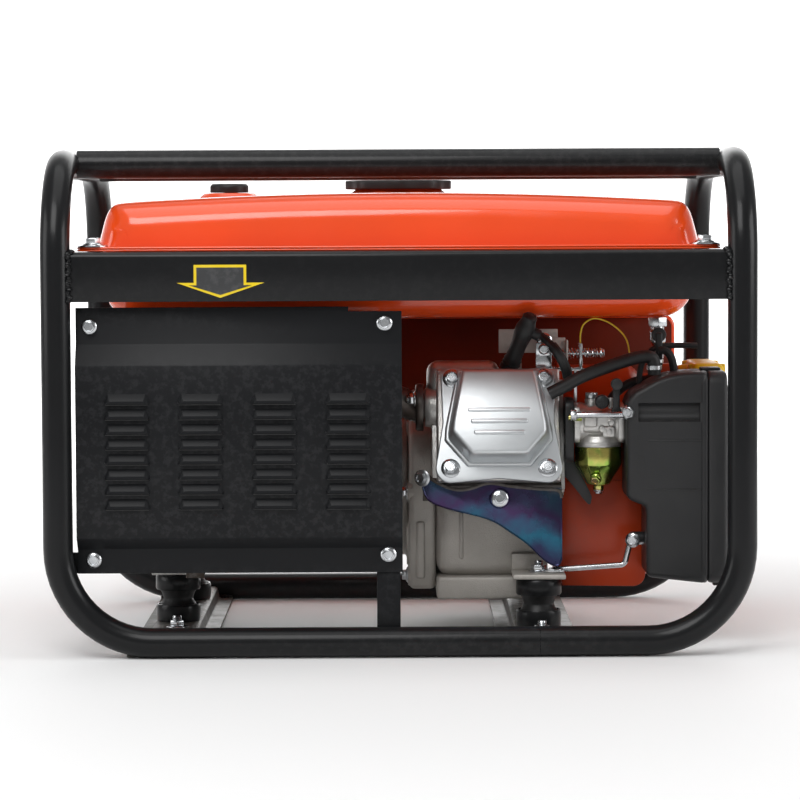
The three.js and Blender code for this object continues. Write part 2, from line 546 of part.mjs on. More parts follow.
const mufflerSection = (inset) => roundedRectangle(muffler.front + inset, muffler.rear - inset,
  muffler.bottom + inset, muffler.top - inset, 30 - inset, 4);
const tailPipe = rod('y', 11, muffler.rear - 30, muffler.rear + 12, muffler.left + 30, muffler.bottom + 26, 12);
add('muffler', cut(
  join(
    prism('x', mufflerSection(0), muffler.left, muffler.right),
    prism('x', roundedRectangle(muffler.front - 4, muffler.rear + 4, muffler.bottom - 4, muffler.top + 4, 34, 4),
      muffler.left + 100, muffler.left + 104),
    block(-186, -170, mufflerY - 2, mufflerY + 2, 60, muffler.bottom + 5),
  ),
  prism('x', mufflerSection(muffler.wall), muffler.left + muffler.wall, muffler.right - muffler.wall),
  tailPipe,
), paint.steel);

function shieldSection(offset) {
  const out = shieldY + offset;
  const low = flangeY + offset;
  const slope = 17;
  return [[low, shield.top], [low, shield.top - 31], [out, shield.top - 31 - slope],
    [out, shield.bottom + 31], [low, shield.bottom + 21], [low, shield.bottom]];
}
const shieldSheet = prism('x', [...shieldSection(0), ...shieldSection(shield.sheet).reverse()], shieldLeft,
  shield.right);
const shieldReturn = block(shield.right - shield.sheet, shield.right, shieldY + 1, shieldY + 34,
  shield.bottom + 32, shield.top - 50);
const louvreTop = shield.top - 72;
const louvrePlaces = Array.from({ length: louvre.columns * louvre.rows }, (_, i) => ({
  x: louvre.firstX + louvre.pitchX * (i % louvre.columns),
  z: louvreTop - louvre.pitchZ * Math.floor(i / louvre.columns),
}));
function louvreHump({ x, z }) {
  const low = z - louvre.height;
  const section = [[shieldY + 0.7, z], [shieldY + 0.7, low], [shieldY - 4.5, low], [shieldY - 4.5, low + 2]];
  return prism('x', section, x - louvre.width / 2, x + louvre.width / 2);
}
add('muffler_shield', join(shieldSheet, shieldReturn, strap, ...louvrePlaces.map(louvreHump)), paint.shieldBlack);

// ---------------------------------------------------------------- cylinder shroud sheet
const shroudFront = tiltedPoint(0, -cylinder.halfV - 1.2, cylinder.deck + 1);
const curtain = [[20, shroudFront.z], [20, 118], [40, 112], [70, 106], [100, 90], [118, 74], [132, 72], [138, 84],
  [141, 110], [139, shroudFront.z]];
add('cylinder_shroud', join(
  prism('y', curtain, shroudFront.y - 0.8, shroudFront.y + 0.8),
  tilted(block(-66, cylinder.halfX - 3, -cylinder.halfV - 2, -cylinder.halfV - gap, cylinder.deck - 8,
    cylinder.headTop - 10 - gap)),
), paint.heatTint);

// ---------------------------------------------------------------- carburettor
const insulatorX = { left: cylinder.x + cylinder.halfX + gap, right: carb.left - gap };
const throat = (radius, from, to) => rod('x', radius, from, to, carb.y, carb.z, 10);
add('carb_insulator', cut(
  prism('x', roundedRectangle(-128, -92, 158, carb.z + 22, 8, 2), insulatorX.left, insulatorX.right),
  throat(carb.throat, 140, 160)), paint.plastic);
const carbFlange = roundedRectangle(carb.y - 21, carb.y + 17, carb.z - carb.flangeHalf, carb.z + carb.flangeHalf, 6, 2);
const carbBody = join(
  throat(carb.body, carb.left, carb.right - gap),
  prism('x', carbFlange, carb.left, carb.left + 5),
  prism('x', carbFlange, carb.right - 6, carb.right - gap),
  rod('z', carb.bowl - 0.5, carb.z - 21 + gap, carb.z - 12, carb.bowlX - 4, carb.y, 12),
  rod('z', 6, carb.z + 10, carb.z + 21, 168, carb.y, 10),
  rod('y', 3, carb.y + 10, carbInlet.y, carbInlet.x, carbInlet.z, 8),
);
add('carburetor_body', cut(carbBody, throat(carb.throat, 140, 210)), paint.zinc);
const bowlTop = carb.z - 21;
add('carburetor_bowl', turned('z', [[0, bowlTop - 39], [5, bowlTop - 39], [5, bowlTop - 34], [10, bowlTop - 33],
  [17, bowlTop - 20], [carb.bowl, bowlTop - 15], [carb.bowl, bowlTop], [carb.bowl - 2.5, bowlTop],
  [carb.bowl - 2.5, bowlTop - 13], [0, bowlTop - 26]], carb.bowlX - 4, carb.y, 12), paint.brass);

const chokeY = carb.y - 21 - gap;
const choke = { x: 188, z: carb.z + 11 };
add('choke_lever', join(
  rod('y', 4.5, chokeY - 5, chokeY, choke.x, choke.z, 10),
  block(choke.x - 3, choke.x + 3, chokeY - 5, chokeY - 2, choke.z, choke.z + 22),
  rod('y', 5, chokeY - 12, chokeY - 2, choke.x, choke.z + 24, 10),
), paint.plastic);
const throttleZ = carb.z + 21 + gap;
add('throttle_lever', join(
  rod('z', 5.5, throttleZ, throttleZ + 5, 168, carb.y, 10),
  block(164, 172, carb.y, carb.y + 20, throttleZ + 1, throttleZ + 3.5),
), paint.zinc);

const governorZ = crankcase.top + gap;
const { x: governorX, y: governorY } = governorShaft;
add('governor_arm', join(
  rod('z', 4.5, governorZ, governorZ + 13, governorX, governorY, 10),
  block(governorX - 4, governorX + 4, governorY - 50, governorY, governorZ + 9.5, governorZ + 12),
), paint.zinc);

const bracketZ = 237;
add('control_bracket', join(
  block(120, 162, -104, -82, bracketZ, bracketZ + 2.5),
  block(158, 160.5, -104, -84, bracketZ, bracketZ + 24),
  rod('x', 4.5, 128, 159, -95, bracketZ + 15, 10),
  block(120, 134, -98, -92, bracketZ, bracketZ + 16),
  block(carb.left + 1, carb.left + 3.8, -104, -101, carb.z + carb.flangeHalf + gap, bracketZ + 1),
), paint.zinc);

// ---------------------------------------------------------------- air cleaner
function airOutline(inset) {
  const { left, right, bottom, top } = airBox;
  return [[left + 17 + inset, bottom + 6 + inset], [right, bottom + inset], [right, top - inset],
    [right - 21, top - inset], [right - 44, top - 7 - inset], [left + 8 + inset, top - 16 - inset],
    [left + inset, top - 26 - inset], [left + inset, 128 + inset], [left + 17 + inset, 121 + inset]];
}
const cavity = airOutline(airBox.wall).map(([u, v]) => [u === airBox.right ? u + 10 : u, v]);
add('air_cleaner_case', cut(prism('y', airOutline(0), airBox.front, airBox.rear),
  prism('y', cavity, airBox.front + airBox.wall, airBox.rear - airBox.wall),
  rod('x', 13, airBox.left - 5, airBox.left + 10, carb.y, carb.z, 12)), paint.plastic);
add('air_filter_element', prism('y', roundedRectangle(222, airBox.right - 4, 72, 214, 8, 2),
  airBox.front + airBox.wall + gap, airBox.rear - airBox.wall - gap), paint.foam);
const lidOuter = prism('x', roundedRectangle(airBox.front, airBox.rear, airBox.bottom, airBox.top, 10, 3),
  airBox.right + gap, airBox.coverRight);
const lidInner = prism('x', roundedRectangle(airBox.front + 3, airBox.rear - 3, airBox.bottom + 3, airBox.top - 3, 8, 3),
  airBox.right - 5, airBox.coverRight - 3);
add('air_cleaner_cover', cut(lidOuter, lidInner), paint.plastic);

const stayY = mountY.rightFront - 2;
const stay = along(new BentRoute([[134, stayY, footTop + 1.8 + gap], [196, stayY, 68], [201, stayY, 88],
  [airBox.left + 17 - gap, stayY, 88]], 4, 2), roundedRectangle(-6, 6, -1.5, 1.5, 0.5, 1));
add('air_cleaner_stay', stay, paint.zinc);

const nipple = tiltedPoint(cover.halfX - 12, 26, cylinder.headTop + 17);
add('breather_hose', pipe([[nipple.x + 4, nipple.y, nipple.z], [150, -132, 229], [190, -127, 246], [216, -121, 252],
  [222, -120, 245], [222, -120, airBox.top - 4.8]], 5.75, 6, 8, 3), paint.rubber);

// ---------------------------------------------------------------- blower, flywheel and recoil starter
const ringAround = (outer, inner, from, to, segments = 18) => turned('x',
  [[inner, from], [outer, from], [outer, to], [inner, to]], crank.y, crank.z, segments);
add('blower_housing', turned('x', [[blower.radius - blower.wall, blower.left], [blower.radius, blower.left],
  [blower.radius, blower.right - 8], [blower.radius - 8, blower.right - gap], [blower.mouth, blower.right - gap],
  [blower.mouth, blower.right - gap - blower.wall], [blower.radius - 9, blower.right - gap - blower.wall],
  [blower.radius - blower.wall, blower.right - 10]], crank.y, crank.z, 20), paint.orange);

const bladeCount = 8;
const fanBlades = Array.from({ length: bladeCount }, (_, i) => block(164, 192, -1.5, 1.5, 46, 84)
  .rotateX(2 * Math.PI * i / bladeCount).translate(0, crank.y, crank.z));
add('flywheel_fan', join(
  turned('x', [[crank.radius + 0.4, 148], [78, 148], [84, 154], [84, 165], [crank.radius + 0.4, 165]],
    crank.y, crank.z, 16),
  ...fanBlades,
), paint.castAluminium);

const web = (x) => prism('x', circle(36, 14), x, x + 12).translate(0, crank.y, crank.z);
add('crankshaft', join(
  rod('x', crank.radius, 6 + gap, 60, crank.y, crank.z, 12),
  rod('x', crank.radius, 100, 200, crank.y, crank.z, 12),
  rod('x', 9, 199, 206, crank.y, crank.z, 6),
  web(58), web(92),
  rod('x', 14, 66, 96, crank.y, crank.z + 20, 12),
), paint.steel);

const { right: recoilRight, radius: recoilRadius, wall: recoilWall } = recoil;
const guide = { left: recoilRight - 32, right: recoilRight - 12, half: 10 };
const recoilShell = turned('x', [[0, recoilRight], [56, recoilRight], [recoilRadius, recoilRight - 14],
  [recoilRadius, blower.right], [recoilRadius - recoilWall, blower.right],
  [recoilRadius - recoilWall, recoilRight - 16], [54, recoilRight - recoilWall],
  [recoil.axle, recoilRight - recoilWall], [recoil.axle, recoilRight - 36], [0, recoilRight - 36]],
crank.y, crank.z, 18);
const guideBlock = block(guide.left, guide.right, grip.y - guide.half, grip.y + guide.half, 205, grip.z + 8);
add('recoil_housing', cut(join(recoilShell, cut(guideBlock, rod('x', recoilRadius - 2, guide.left - 5,
  guide.right + 5, crank.y, crank.z, 18))), rod('x', 4, guide.left - 5, guide.right + 5, grip.y, grip.z, 8)),
paint.orange);
add('recoil_pulley', turned('x', [[recoil.axle + 0.6, 228], [recoil.pulley, 228], [recoil.pulley, 231],
  [recoil.groove, 234], [recoil.groove, 242], [recoil.pulley, 245], [recoil.pulley, 248],
  [recoil.axle + 0.6, 248]], crank.y, crank.z, 16), paint.plastic);

const gripMiddle = (grip.left + grip.right) / 2;
const gripEnd = 5; // rounding of the bar's two ends
const gripBar = prism('y', roundedRectangle(grip.left + gripEnd, grip.right - gripEnd,
  grip.z - grip.height / 2 + gripEnd, grip.z + grip.height / 2 - gripEnd, 4, 3),
grip.y - grip.length / 2, grip.y + grip.length / 2,
{ bevelEnabled: true, bevelThickness: gripEnd + 1, bevelSize: gripEnd, bevelSegments: 2 });
add('recoil_grip', join(gripBar, rod('x', 7, guide.right + gap, gripMiddle, grip.y, grip.z, 10, 8)), paint.yellow);
add('recoil_rope', rod('x', 2.4, guide.left + 1, guide.right - 0.5, grip.y, grip.z, 8), paint.foam);

// ---------------------------------------------------------------- oil filler cap
const oilFace = crankcase.rear + gap;
add('oil_filler_cap', join(
  rod('y', oilHole.radius - 1.5, oilFace - 12, oilFace + 2, oilHole.x, oilHole.z, 12),
  rod('y', 15, oilFace, oilFace + 5, oilHole.x, oilHole.z, 14),
  block(oilHole.x - 14, oilHole.x + 14, oilFace + 3, oilFace + 14, oilHole.z - 3, oilHole.z + 3),
), paint.plastic);

// ---------------------------------------------------------------- alternator
const altX = { bellRight: alternator.left + alternator.bell };
altX.statorRight = altX.bellRight + gap + alternator.stator;
altX.adapterRight = 8 - gap;
const { radius: altR, wall: altWall } = alternator;
const bell = turned('x', [[crank.radius + 1, alternator.left], [altR - 18, alternator.left],
  [altR, alternator.left + 14], [altR, altX.bellRight], [altR - altWall, altX.bellRight],
  [altR - altWall, alternator.left + 16], [altR - 20, alternator.left + altWall],
  [crank.radius + 1, alternator.left + altWall]], crank.y, crank.z, 18);
const bellFoot = block(channel.leftX - 22, channel.leftX + 22, mountY.leftFront - 22, mountY.leftRear + 22,
  mount.top, footTop);
const bellLeg = block(channel.leftX - 22, channel.leftX + 22, crank.y - 40, crank.y + 40, mount.top, 70);
const bellHollow = rod('x', altR - altWall, alternator.left + 20, altX.bellRight + 1, crank.y, crank.z, 18);
add('alternator_end_bell', cut(join(bell, cut(join(bellFoot, bellLeg), bellHollow)),
  studHole(channel.leftX, mountY.leftFront), studHole(channel.leftX, mountY.leftRear)), paint.castAluminium);
add('alternator_stator', ringAround(altR - 3, alternator.bore, altX.bellRight + gap, altX.statorRight), paint.steel);
add('alternator_adapter', turned('x', [[altR, altX.statorRight + gap], [altR, altX.statorRight + 22],
  [70, altX.adapterRight], [58, altX.adapterRight], [altR - 8, altX.statorRight + 20],
  [altR - 8, altX.statorRight + gap]], crank.y, crank.z, 18), paint.castAluminium);
add('alternator_rotor', turned('x', [[0, alternator.left + 1], [crank.radius - 0.5, alternator.left + 1],
  [crank.radius - 0.5, altX.bellRight - 2], [alternator.bore - alternator.airGap, altX.bellRight - 2],
  [alternator.bore - alternator.airGap, altX.statorRight + 6], [crank.radius - 0.5, altX.statorRight + 6],
  [crank.radius - 0.5, 6], [0, 6]], crank.y, crank.z, 16), paint.copper);

// ---------------------------------------------------------------- control panel
const panelBack = panelFace - panel.depth;
const socketX = [20, 90];
const socketZ = (panel.bottom + panel.top) / 2;
const switchAt = { x: 160, z: socketZ, lean: 8 };
const buttonAt = { x: 205, z: socketZ };
const panelTabs = [-10, 210].map((x) => join(
  block(x, x + 30, panelFace - 4, panelFace + 4.7, panel.top - 10, panel.top),
  block(x, x + 30, panelFace + 1.7, panelFace + 4.7, panel.top - 10, railTop - 12)));
const panelShell = cut(
  prism('y', roundedRectangle(panel.left, panel.right, panel.bottom, panel.top, 10, 3), panelBack, panelFace),
  prism('y', roundedRectangle(panel.left + panel.sheet, panel.right - panel.sheet, panel.bottom + panel.sheet,
    panel.top - panel.sheet, 8, 3), panelBack - 5, panelFace - panel.sheet));
const socketCup = (x) => rod('y', panel.socket + 6, panelFace - 24, panelFace + 3, x, socketZ, 14);
const socketWell = (x) => rod('y', panel.socket, panelFace - 18, panelFace + 10, x, socketZ, 12);
add('panel_box', cut(join(panelShell, ...panelTabs, ...socketX.map(socketCup)), ...socketX.map(socketWell),
  block(switchAt.x - 8, switchAt.x + 8, panelFace - 6, panelFace + 6, switchAt.z - 12, switchAt.z + 12),
  rod('y', 6, panelFace - 6, panelFace + 6, buttonAt.x, buttonAt.z, 12)), paint.orange);
const rocker = prism('x', [[panelFace - 8, switchAt.z - 3], [panelFace - 1, switchAt.z - 10.5],
  [panelFace + 4, switchAt.z - 10], [panelFace + 1, switchAt.z], [panelFace + 4, switchAt.z + 10],
  [panelFace - 1, switchAt.z + 10.5], [panelFace - 8, switchAt.z + 3]], switchAt.x - 7.7, switchAt.x + 7.7);
const rockerLean = THREE.MathUtils.degToRad(-switchAt.lean); // rests in its off position
add('engine_switch', rocker.translate(0, -panelFace, -switchAt.z).rotateX(rockerLean)
  .translate(0, panelFace, switchAt.z), paint.redKnob);
add('breaker_button', join(
  rod('y', 5.4, panelFace - 10, panelFace + 6, buttonAt.x, buttonAt.z, 12),
  rod('y', 8, panelFace - 12, panelFace - 8, buttonAt.x, buttonAt.z, 12),
), paint.plastic);

export default generator;
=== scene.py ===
import math

import bpy
from mathutils import Matrix, Vector


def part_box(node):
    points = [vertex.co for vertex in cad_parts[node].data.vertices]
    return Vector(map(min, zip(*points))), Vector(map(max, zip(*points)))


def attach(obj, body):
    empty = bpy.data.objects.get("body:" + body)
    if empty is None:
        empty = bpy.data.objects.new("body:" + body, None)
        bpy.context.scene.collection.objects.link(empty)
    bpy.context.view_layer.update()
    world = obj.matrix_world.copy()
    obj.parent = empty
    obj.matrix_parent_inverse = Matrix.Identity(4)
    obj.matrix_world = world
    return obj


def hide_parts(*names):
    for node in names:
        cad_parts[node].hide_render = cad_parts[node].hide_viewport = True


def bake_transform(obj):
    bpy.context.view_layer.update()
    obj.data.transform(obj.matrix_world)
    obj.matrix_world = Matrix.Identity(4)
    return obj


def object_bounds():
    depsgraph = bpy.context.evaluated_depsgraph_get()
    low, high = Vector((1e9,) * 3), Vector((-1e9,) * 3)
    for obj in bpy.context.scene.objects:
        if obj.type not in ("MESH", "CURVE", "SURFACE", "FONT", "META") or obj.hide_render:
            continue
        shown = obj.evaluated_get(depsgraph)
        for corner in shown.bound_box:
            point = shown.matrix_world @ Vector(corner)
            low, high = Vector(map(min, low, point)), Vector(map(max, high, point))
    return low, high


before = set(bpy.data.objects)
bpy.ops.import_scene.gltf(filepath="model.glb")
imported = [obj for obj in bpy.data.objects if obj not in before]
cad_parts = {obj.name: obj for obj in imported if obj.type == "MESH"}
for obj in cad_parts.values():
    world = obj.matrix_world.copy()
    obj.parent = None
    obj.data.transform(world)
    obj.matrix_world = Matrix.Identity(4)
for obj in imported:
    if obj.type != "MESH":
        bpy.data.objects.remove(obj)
CAD_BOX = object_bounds()

bl_info = {
    "name": "Portable generator",
    "version": (1, 0, 0),
    "blender": (4, 5, 0),
    "location": "View3D > Sidebar > Generator",
    "description": "Open-frame portable generator: painted tube frame, fuel tank, engine and air cleaner",
    "category": "Object",
}

MM = 0.001
TAU = 2 * math.pi


# ---------------------------------------------------------------- sizes and colours that a user may change
class FramePaint(bpy.types.PropertyGroup):
    colour: bpy.props.FloatVectorProperty(
        name="Frame colour", description="Paint on the tubes and rails",
        subtype="COLOR", size=3, min=0, max=1, default=(0.0075, 0.0078, 0.0085))
    shield: bpy.props.FloatVectorProperty(
        name="Shield colour", description="Paint on the louvred muffler shield",
        subtype="COLOR", size=3, min=0, max=1, default=(0.0095, 0.01, 0.0112))
    weld_bead: bpy.props.FloatProperty(
        name="Weld bead", description="Thickness of the weld beads at the tube joints",
        default=0.0026, min=0.001, max=0.006, unit="LENGTH")


class TankLook(bpy.types.PropertyGroup):
    colour: bpy.props.FloatVectorProperty(
        name="Tank colour", description="Gloss paint on the fuel tank, blower and panel",
        subtype="COLOR", size=3, min=0, max=1, default=(0.93, 0.085, 0.012))
    cap_lobes: bpy.props.IntProperty(
        name="Cap lobes", description="Grip lobes round the fuel cap", default=8, min=4, max=16)
    washer: bpy.props.FloatProperty(
        name="Tank washer", description="Diameter of the washers under the tank bolts",
        default=0.026, min=0.015, max=0.04, unit="LENGTH")


class EngineLook(bpy.types.PropertyGroup):
    cover_ribs: bpy.props.IntProperty(
        name="Cover ribs", description="Pressed ribs on the valve cover", default=3, min=1, max=6)
    hose: bpy.props.FloatProperty(
        name="Breather hose", description="Outside diameter of the breather hose",
        default=0.0115, min=0.006, max=0.02, unit="LENGTH")
    grip: bpy.props.FloatVectorProperty(
        name="Starter grip colour", description="Moulded plastic of the starter grip",
        subtype="COLOR", size=3, min=0, max=1, default=(0.95, 0.58, 0.006))


class StudioSetup(bpy.types.PropertyGroup):
    lens: bpy.props.FloatProperty(
        name="Lens", description="Focal length on a 36 mm sensor", default=141.2, min=50, max=300,
        subtype="DISTANCE_CAMERA")
    key_power: bpy.props.FloatProperty(
        name="Key light", description="Power of the large front light", default=24, min=0, max=500,
                                       unit="POWER")


def settings(name):
    return getattr(bpy.context.scene, name)


# ---------------------------------------------------------------- modelling helpers, sizes in millimetres
def deselect():
    bpy.ops.object.select_all(action="DESELECT")


def make_active(piece):
    deselect()
    piece.select_set(True)
    bpy.context.view_layer.objects.active = piece
    return piece


def settle(piece, name):
    make_active(piece)
    piece.name = piece.data.name = name
    bpy.ops.object.transform_apply(location=True, rotation=True, scale=True)
    return piece


def soften(piece, width, steps=2, angle=35):
    make_active(piece)
    bevel = piece.modifiers.new("Soft edges", "BEVEL")
    bevel.width, bevel.segments = width * MM, steps
    bevel.limit_method, bevel.angle_limit = "ANGLE", math.radians(angle)
    bpy.ops.object.modifier_apply(modifier=bevel.name)
    return piece


def smooth(piece, angle=32):
    make_active(piece)
    bpy.ops.object.shade_smooth_by_angle(angle=math.radians(angle))
    return piece


def block(name, x0, x1, y0, y1, z0, z1, rounding=0.0, steps=2):
    deselect()
    bpy.ops.mesh.primitive_cube_add(
        size=1, location=[(x0 + x1) / 2 * MM, (y0 + y1) / 2 * MM, (z0 + z1) / 2 * MM],
        scale=[(x1 - x0) * MM, (y1 - y0) * MM, (z1 - z0) * MM])
    piece = settle(bpy.context.object, name)
    return soften(piece, rounding, steps) if rounding else piece


def facing(direction):
    return Vector((0, 0, 1)).rotation_difference(Vector(direction).normalized())


def rod(name, radius, start, end, sides=32, end_radius=None, rounding=0.0):
    deselect()
    a, b = Vector(start), Vector(end)
    bpy.ops.mesh.primitive_cone_add(
        vertices=sides, radius1=radius * MM, radius2=(radius if end_radius is None else end_radius) * MM,
        depth=(b - a).length * MM, location=(a + b) / 2 * MM, rotation=facing(b - a).to_euler())
    piece = settle(bpy.context.object, name)
    return soften(piece, rounding, 2) if rounding else piece


def on_axis(axis, u, v, w):
    """A point from two coordinates across an axis and one along it."""
    return {"x": (w, u, v), "y": (u, w, v), "z": (u, v, w)}[axis]


def edit(piece):
    make_active(piece)
    bpy.ops.object.mode_set(mode="EDIT")
    bpy.ops.mesh.select_all(action="SELECT")


def close_edit(tidy=True):
    bpy.ops.mesh.select_all(action="SELECT")
    if tidy:
        bpy.ops.mesh.remove_doubles(threshold=1e-5)
        bpy.ops.mesh.normals_make_consistent(inside=False)
    bpy.ops.object.mode_set(mode="OBJECT")


def outline_ring(name, places, fill):
    deselect()
    bpy.ops.mesh.primitive_circle_add(vertices=len(places), fill_type=fill)
    piece = bpy.context.object
    piece.name = piece.data.name = name
    for vertex, place in zip(piece.data.vertices, places):
        vertex.co = Vector(place) * MM
    return piece


def extruded(name, axis, points, start, end, rounding=0.0, steps=2, angle=35):
    """An outline across an axis, pushed along it."""
    piece = outline_ring(name, [on_axis(axis, u, v, start) for u, v in points], "NGON")
    edit(piece)
    bpy.ops.mesh.extrude_region_move(
        TRANSFORM_OT_translate={"value": [c * MM for c in on_axis(axis, 0, 0, end - start)]})
    close_edit()
    return soften(piece, rounding, steps, angle) if rounding else piece


def turned(name, axis, profile, centre, sides=48, rounding=0.0, steps=2, angle=30):
    """A closed profile of (radius, distance) points spun about an axis through a centre."""
    a, b = centre
    piece = outline_ring(name, [on_axis(axis, a + r, b, h) for r, h in profile], "NOTHING")
    edit(piece)
    bpy.ops.mesh.spin(
        steps=sides, angle=TAU, center=[c * MM for c in on_axis(axis, a, b, 0)], axis=on_axis(axis, 0, 0, 1))
    close_edit()
    return soften(piece, rounding, steps, angle) if rounding else piece


def arc(u, v, radius, start, end, steps):
    return [(u + radius * math.cos(math.radians(start + (end - start) * i / steps)),
             v + radius * math.sin(math.radians(start + (end - start) * i / steps)))
            for i in range(steps + 1)]


def rounded(u0, u1, v0, v1, radius, steps=5):
    return (arc(u1 - radius, v0 + radius, radius, -90, 0, steps) + arc(u1 - radius, v1 - radius, radius, 0,
                                                                       90, steps)
            + arc(u0 + radius, v1 - radius, radius, 90, 180, steps)
            + arc(u0 + radius, v0 + radius, radius, 180, 270, steps))


def bent_line(corners, bend, steps=10):
    """Straight runs between corners with round bends."""
    corners = [Vector(c) for c in corners]
    points = [corners[0]]
    for before, corner, after in zip(corners, corners[1:], corners[2:]):
        into, out = (corner - before).normalized(), (after - corner).normalized()
        turn = into.angle(out)
        if turn < 0.02:
            continue
        back = bend * math.tan(turn / 2)
        inward = (out - into * out.dot(into)).normalized()
        start = corner - into * back
        points += [start + into * bend * math.sin(turn * k / steps)
                   + inward * bend * (1 - math.cos(turn * k / steps))
                   for k in range(steps + 1)]
    return points + [corners[-1]]


def tube(name, points, radius, sides=24, closed=False):
    """A round tube along a line of points, with flat ends."""
    deselect()
    bpy.ops.curve.primitive_nurbs_path_add()
    piece = bpy.context.object
    curve = piece.data
    curve.splines.clear()
    spline = curve.splines.new("POLY")
    spline.points.add(len(points) - 1)
    for target, point in zip(spline.points, points):
        target.co = (*(Vector(point) * MM), 1)
    spline.use_cyclic_u = closed
    curve.dimensions = "3D"
    curve.bevel_depth = radius * MM
    curve.bevel_resolution = sides // 4 - 1
    curve.use_fill_caps = not closed
    make_active(piece)
    piece.location = (0, 0, 0)
    piece.rotation_euler = (0, 0, 0)
    bpy.ops.object.convert(target="MESH")
    piece = bpy.context.object
    piece.name = piece.data.name = name
    edit(piece)
    close_edit()
    return piece


def joined(name, *pieces):
    deselect()
    for piece in pieces:
        piece.select_set(True)
    bpy.context.view_layer.objects.active = pieces[0]
    if len(pieces) > 1:
        bpy.ops.object.join()
    whole = bpy.context.object
    whole.name = whole.data.name = name
    return whole


def carve(piece, *cutters, operation="DIFFERENCE"):
    for cutter in cutters:
        make_active(piece)
        shape = piece.modifiers.new("Carve", "BOOLEAN")
        shape.operation, shape.object, shape.solver = operation, cutter, "EXACT"
        bpy.ops.object.modifier_apply(modifier=shape.name)
        bpy.data.objects.remove(cutter)
    return piece


def copy_of(piece, name, move=(0, 0, 0), turn=None, about=(0, 0, 0)):
    deselect()
    piece.select_set(True)
    bpy.context.view_layer.objects.active = piece
    bpy.ops.object.duplicate(linked=False)
    twin = bpy.context.object
    twin.name = twin.data.name = name
    centre = Vector(about) * MM
    spin = turn.to_matrix().to_4x4() if turn else Matrix.Identity(4)
    twin.data.transform(Matrix.Translation(Vector(move) * MM + centre) @ spin @ Matrix.Translation(-centre))
    return twin


def tilted(piece):
    """Puts a piece drawn round the origin, with Z along the bore, in the leaning cylinder's place."""
    piece.data.transform(BORE)
    return piece


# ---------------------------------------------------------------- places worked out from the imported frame
def lows(node):
    return [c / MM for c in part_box(node)[0]]


def highs(node):
    return [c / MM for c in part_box(node)[1]]


TUBE = 12.7
HALF_X, HALF_Y, TOP = CAD_BOX[1].x / MM, CAD_BOX[1].y / MM, CAD_BOX[1].z / MM
TUBE_X, TUBE_Y, TUBE_TOP = HALF_X - TUBE, HALF_Y - TUBE, TOP - TUBE
CRANK = (15, 137)
LEAN = math.radians(20)
BORE = Matrix.Translation(Vector((86, *CRANK)) * MM) @ Matrix((
    (1, 0, 0, 0), (0, math.sin(LEAN), -math.cos(LEAN), 0), (0, math.cos(LEAN), math.sin(LEAN), 0),
                                                               (0, 0, 0, 1)))
SEAM = lows("tank_lower_shell")[2] + 61
HEAD_TOP = 150


def on_bore(x, v, w):
    return BORE @ (Vector((x, v, w)) * MM) / MM


# ---------------------------------------------------------------- shader groups
def group_tree(name, inputs, outputs):
    tree = bpy.data.node_groups.new(name, "ShaderNodeTree")
    kinds = {"c": "NodeSocketColor", "f": "NodeSocketFloat", "v": "NodeSocketVector"}
    for label, kind, default in inputs:
        socket = tree.interface.new_socket(label, in_out="INPUT", socket_type=kinds[kind])
        if default is not None:
            socket.default_value = default
    for label, kind in outputs:
        tree.interface.new_socket(label, in_out="OUTPUT", socket_type=kinds[kind])
    return tree, tree.nodes.new("NodeGroupInput"), tree.nodes.new("NodeGroupOutput")


def node(tree, kind, **values):
    made = tree.nodes.new("ShaderNode" + kind)
    for key, value in values.items():
        if key.startswith("in_"):
            made.inputs[key[3:].replace("_", " ")].default_value = value
        else:
            setattr(made, key, value)
    return made


def calc(tree, operation, a, b=None, clamp=False):
    made = node(tree, "Math", operation=operation, use_clamp=clamp)
    for socket, value in zip(made.inputs, (a, b)):
        if value is None:
            continue
        if isinstance(value, (int, float)):
            socket.default_value = value
        else:
            tree.links.new(value, socket)
    return made.outputs[0]


def blend_colour(tree, share, a, b):
    made = node(tree, "Mix", data_type="RGBA")
    for socket, value in zip((made.inputs[0], made.inputs[6], made.inputs[7]), (share, a, b)):
        if isinstance(value, (int, float, tuple)):
            socket.default_value = value
        else:
            tree.links.new(value, socket)
    return made.outputs[2]


def noise(tree, place, scale, detail=3.0, roughness=0.5):
    made = node(tree, "TexNoise", in_Detail=detail, in_Roughness=roughness)
    tree.links.new(place, made.inputs["Vector"])
    if isinstance(scale, (int, float)):
        made.inputs["Scale"].default_value = scale
    else:
        tree.links.new(scale, made.inputs["Scale"])
    return made.outputs["Fac"]


def ramp_mask(tree, value, low, high):
    made = node(tree, "MapRange", clamp=True, interpolation_type="SMOOTHSTEP")
    made.inputs["From Min"].default_value, made.inputs["From Max"].default_value = low, high
    tree.links.new(value, made.inputs["Value"])
    return made.outputs["Result"]


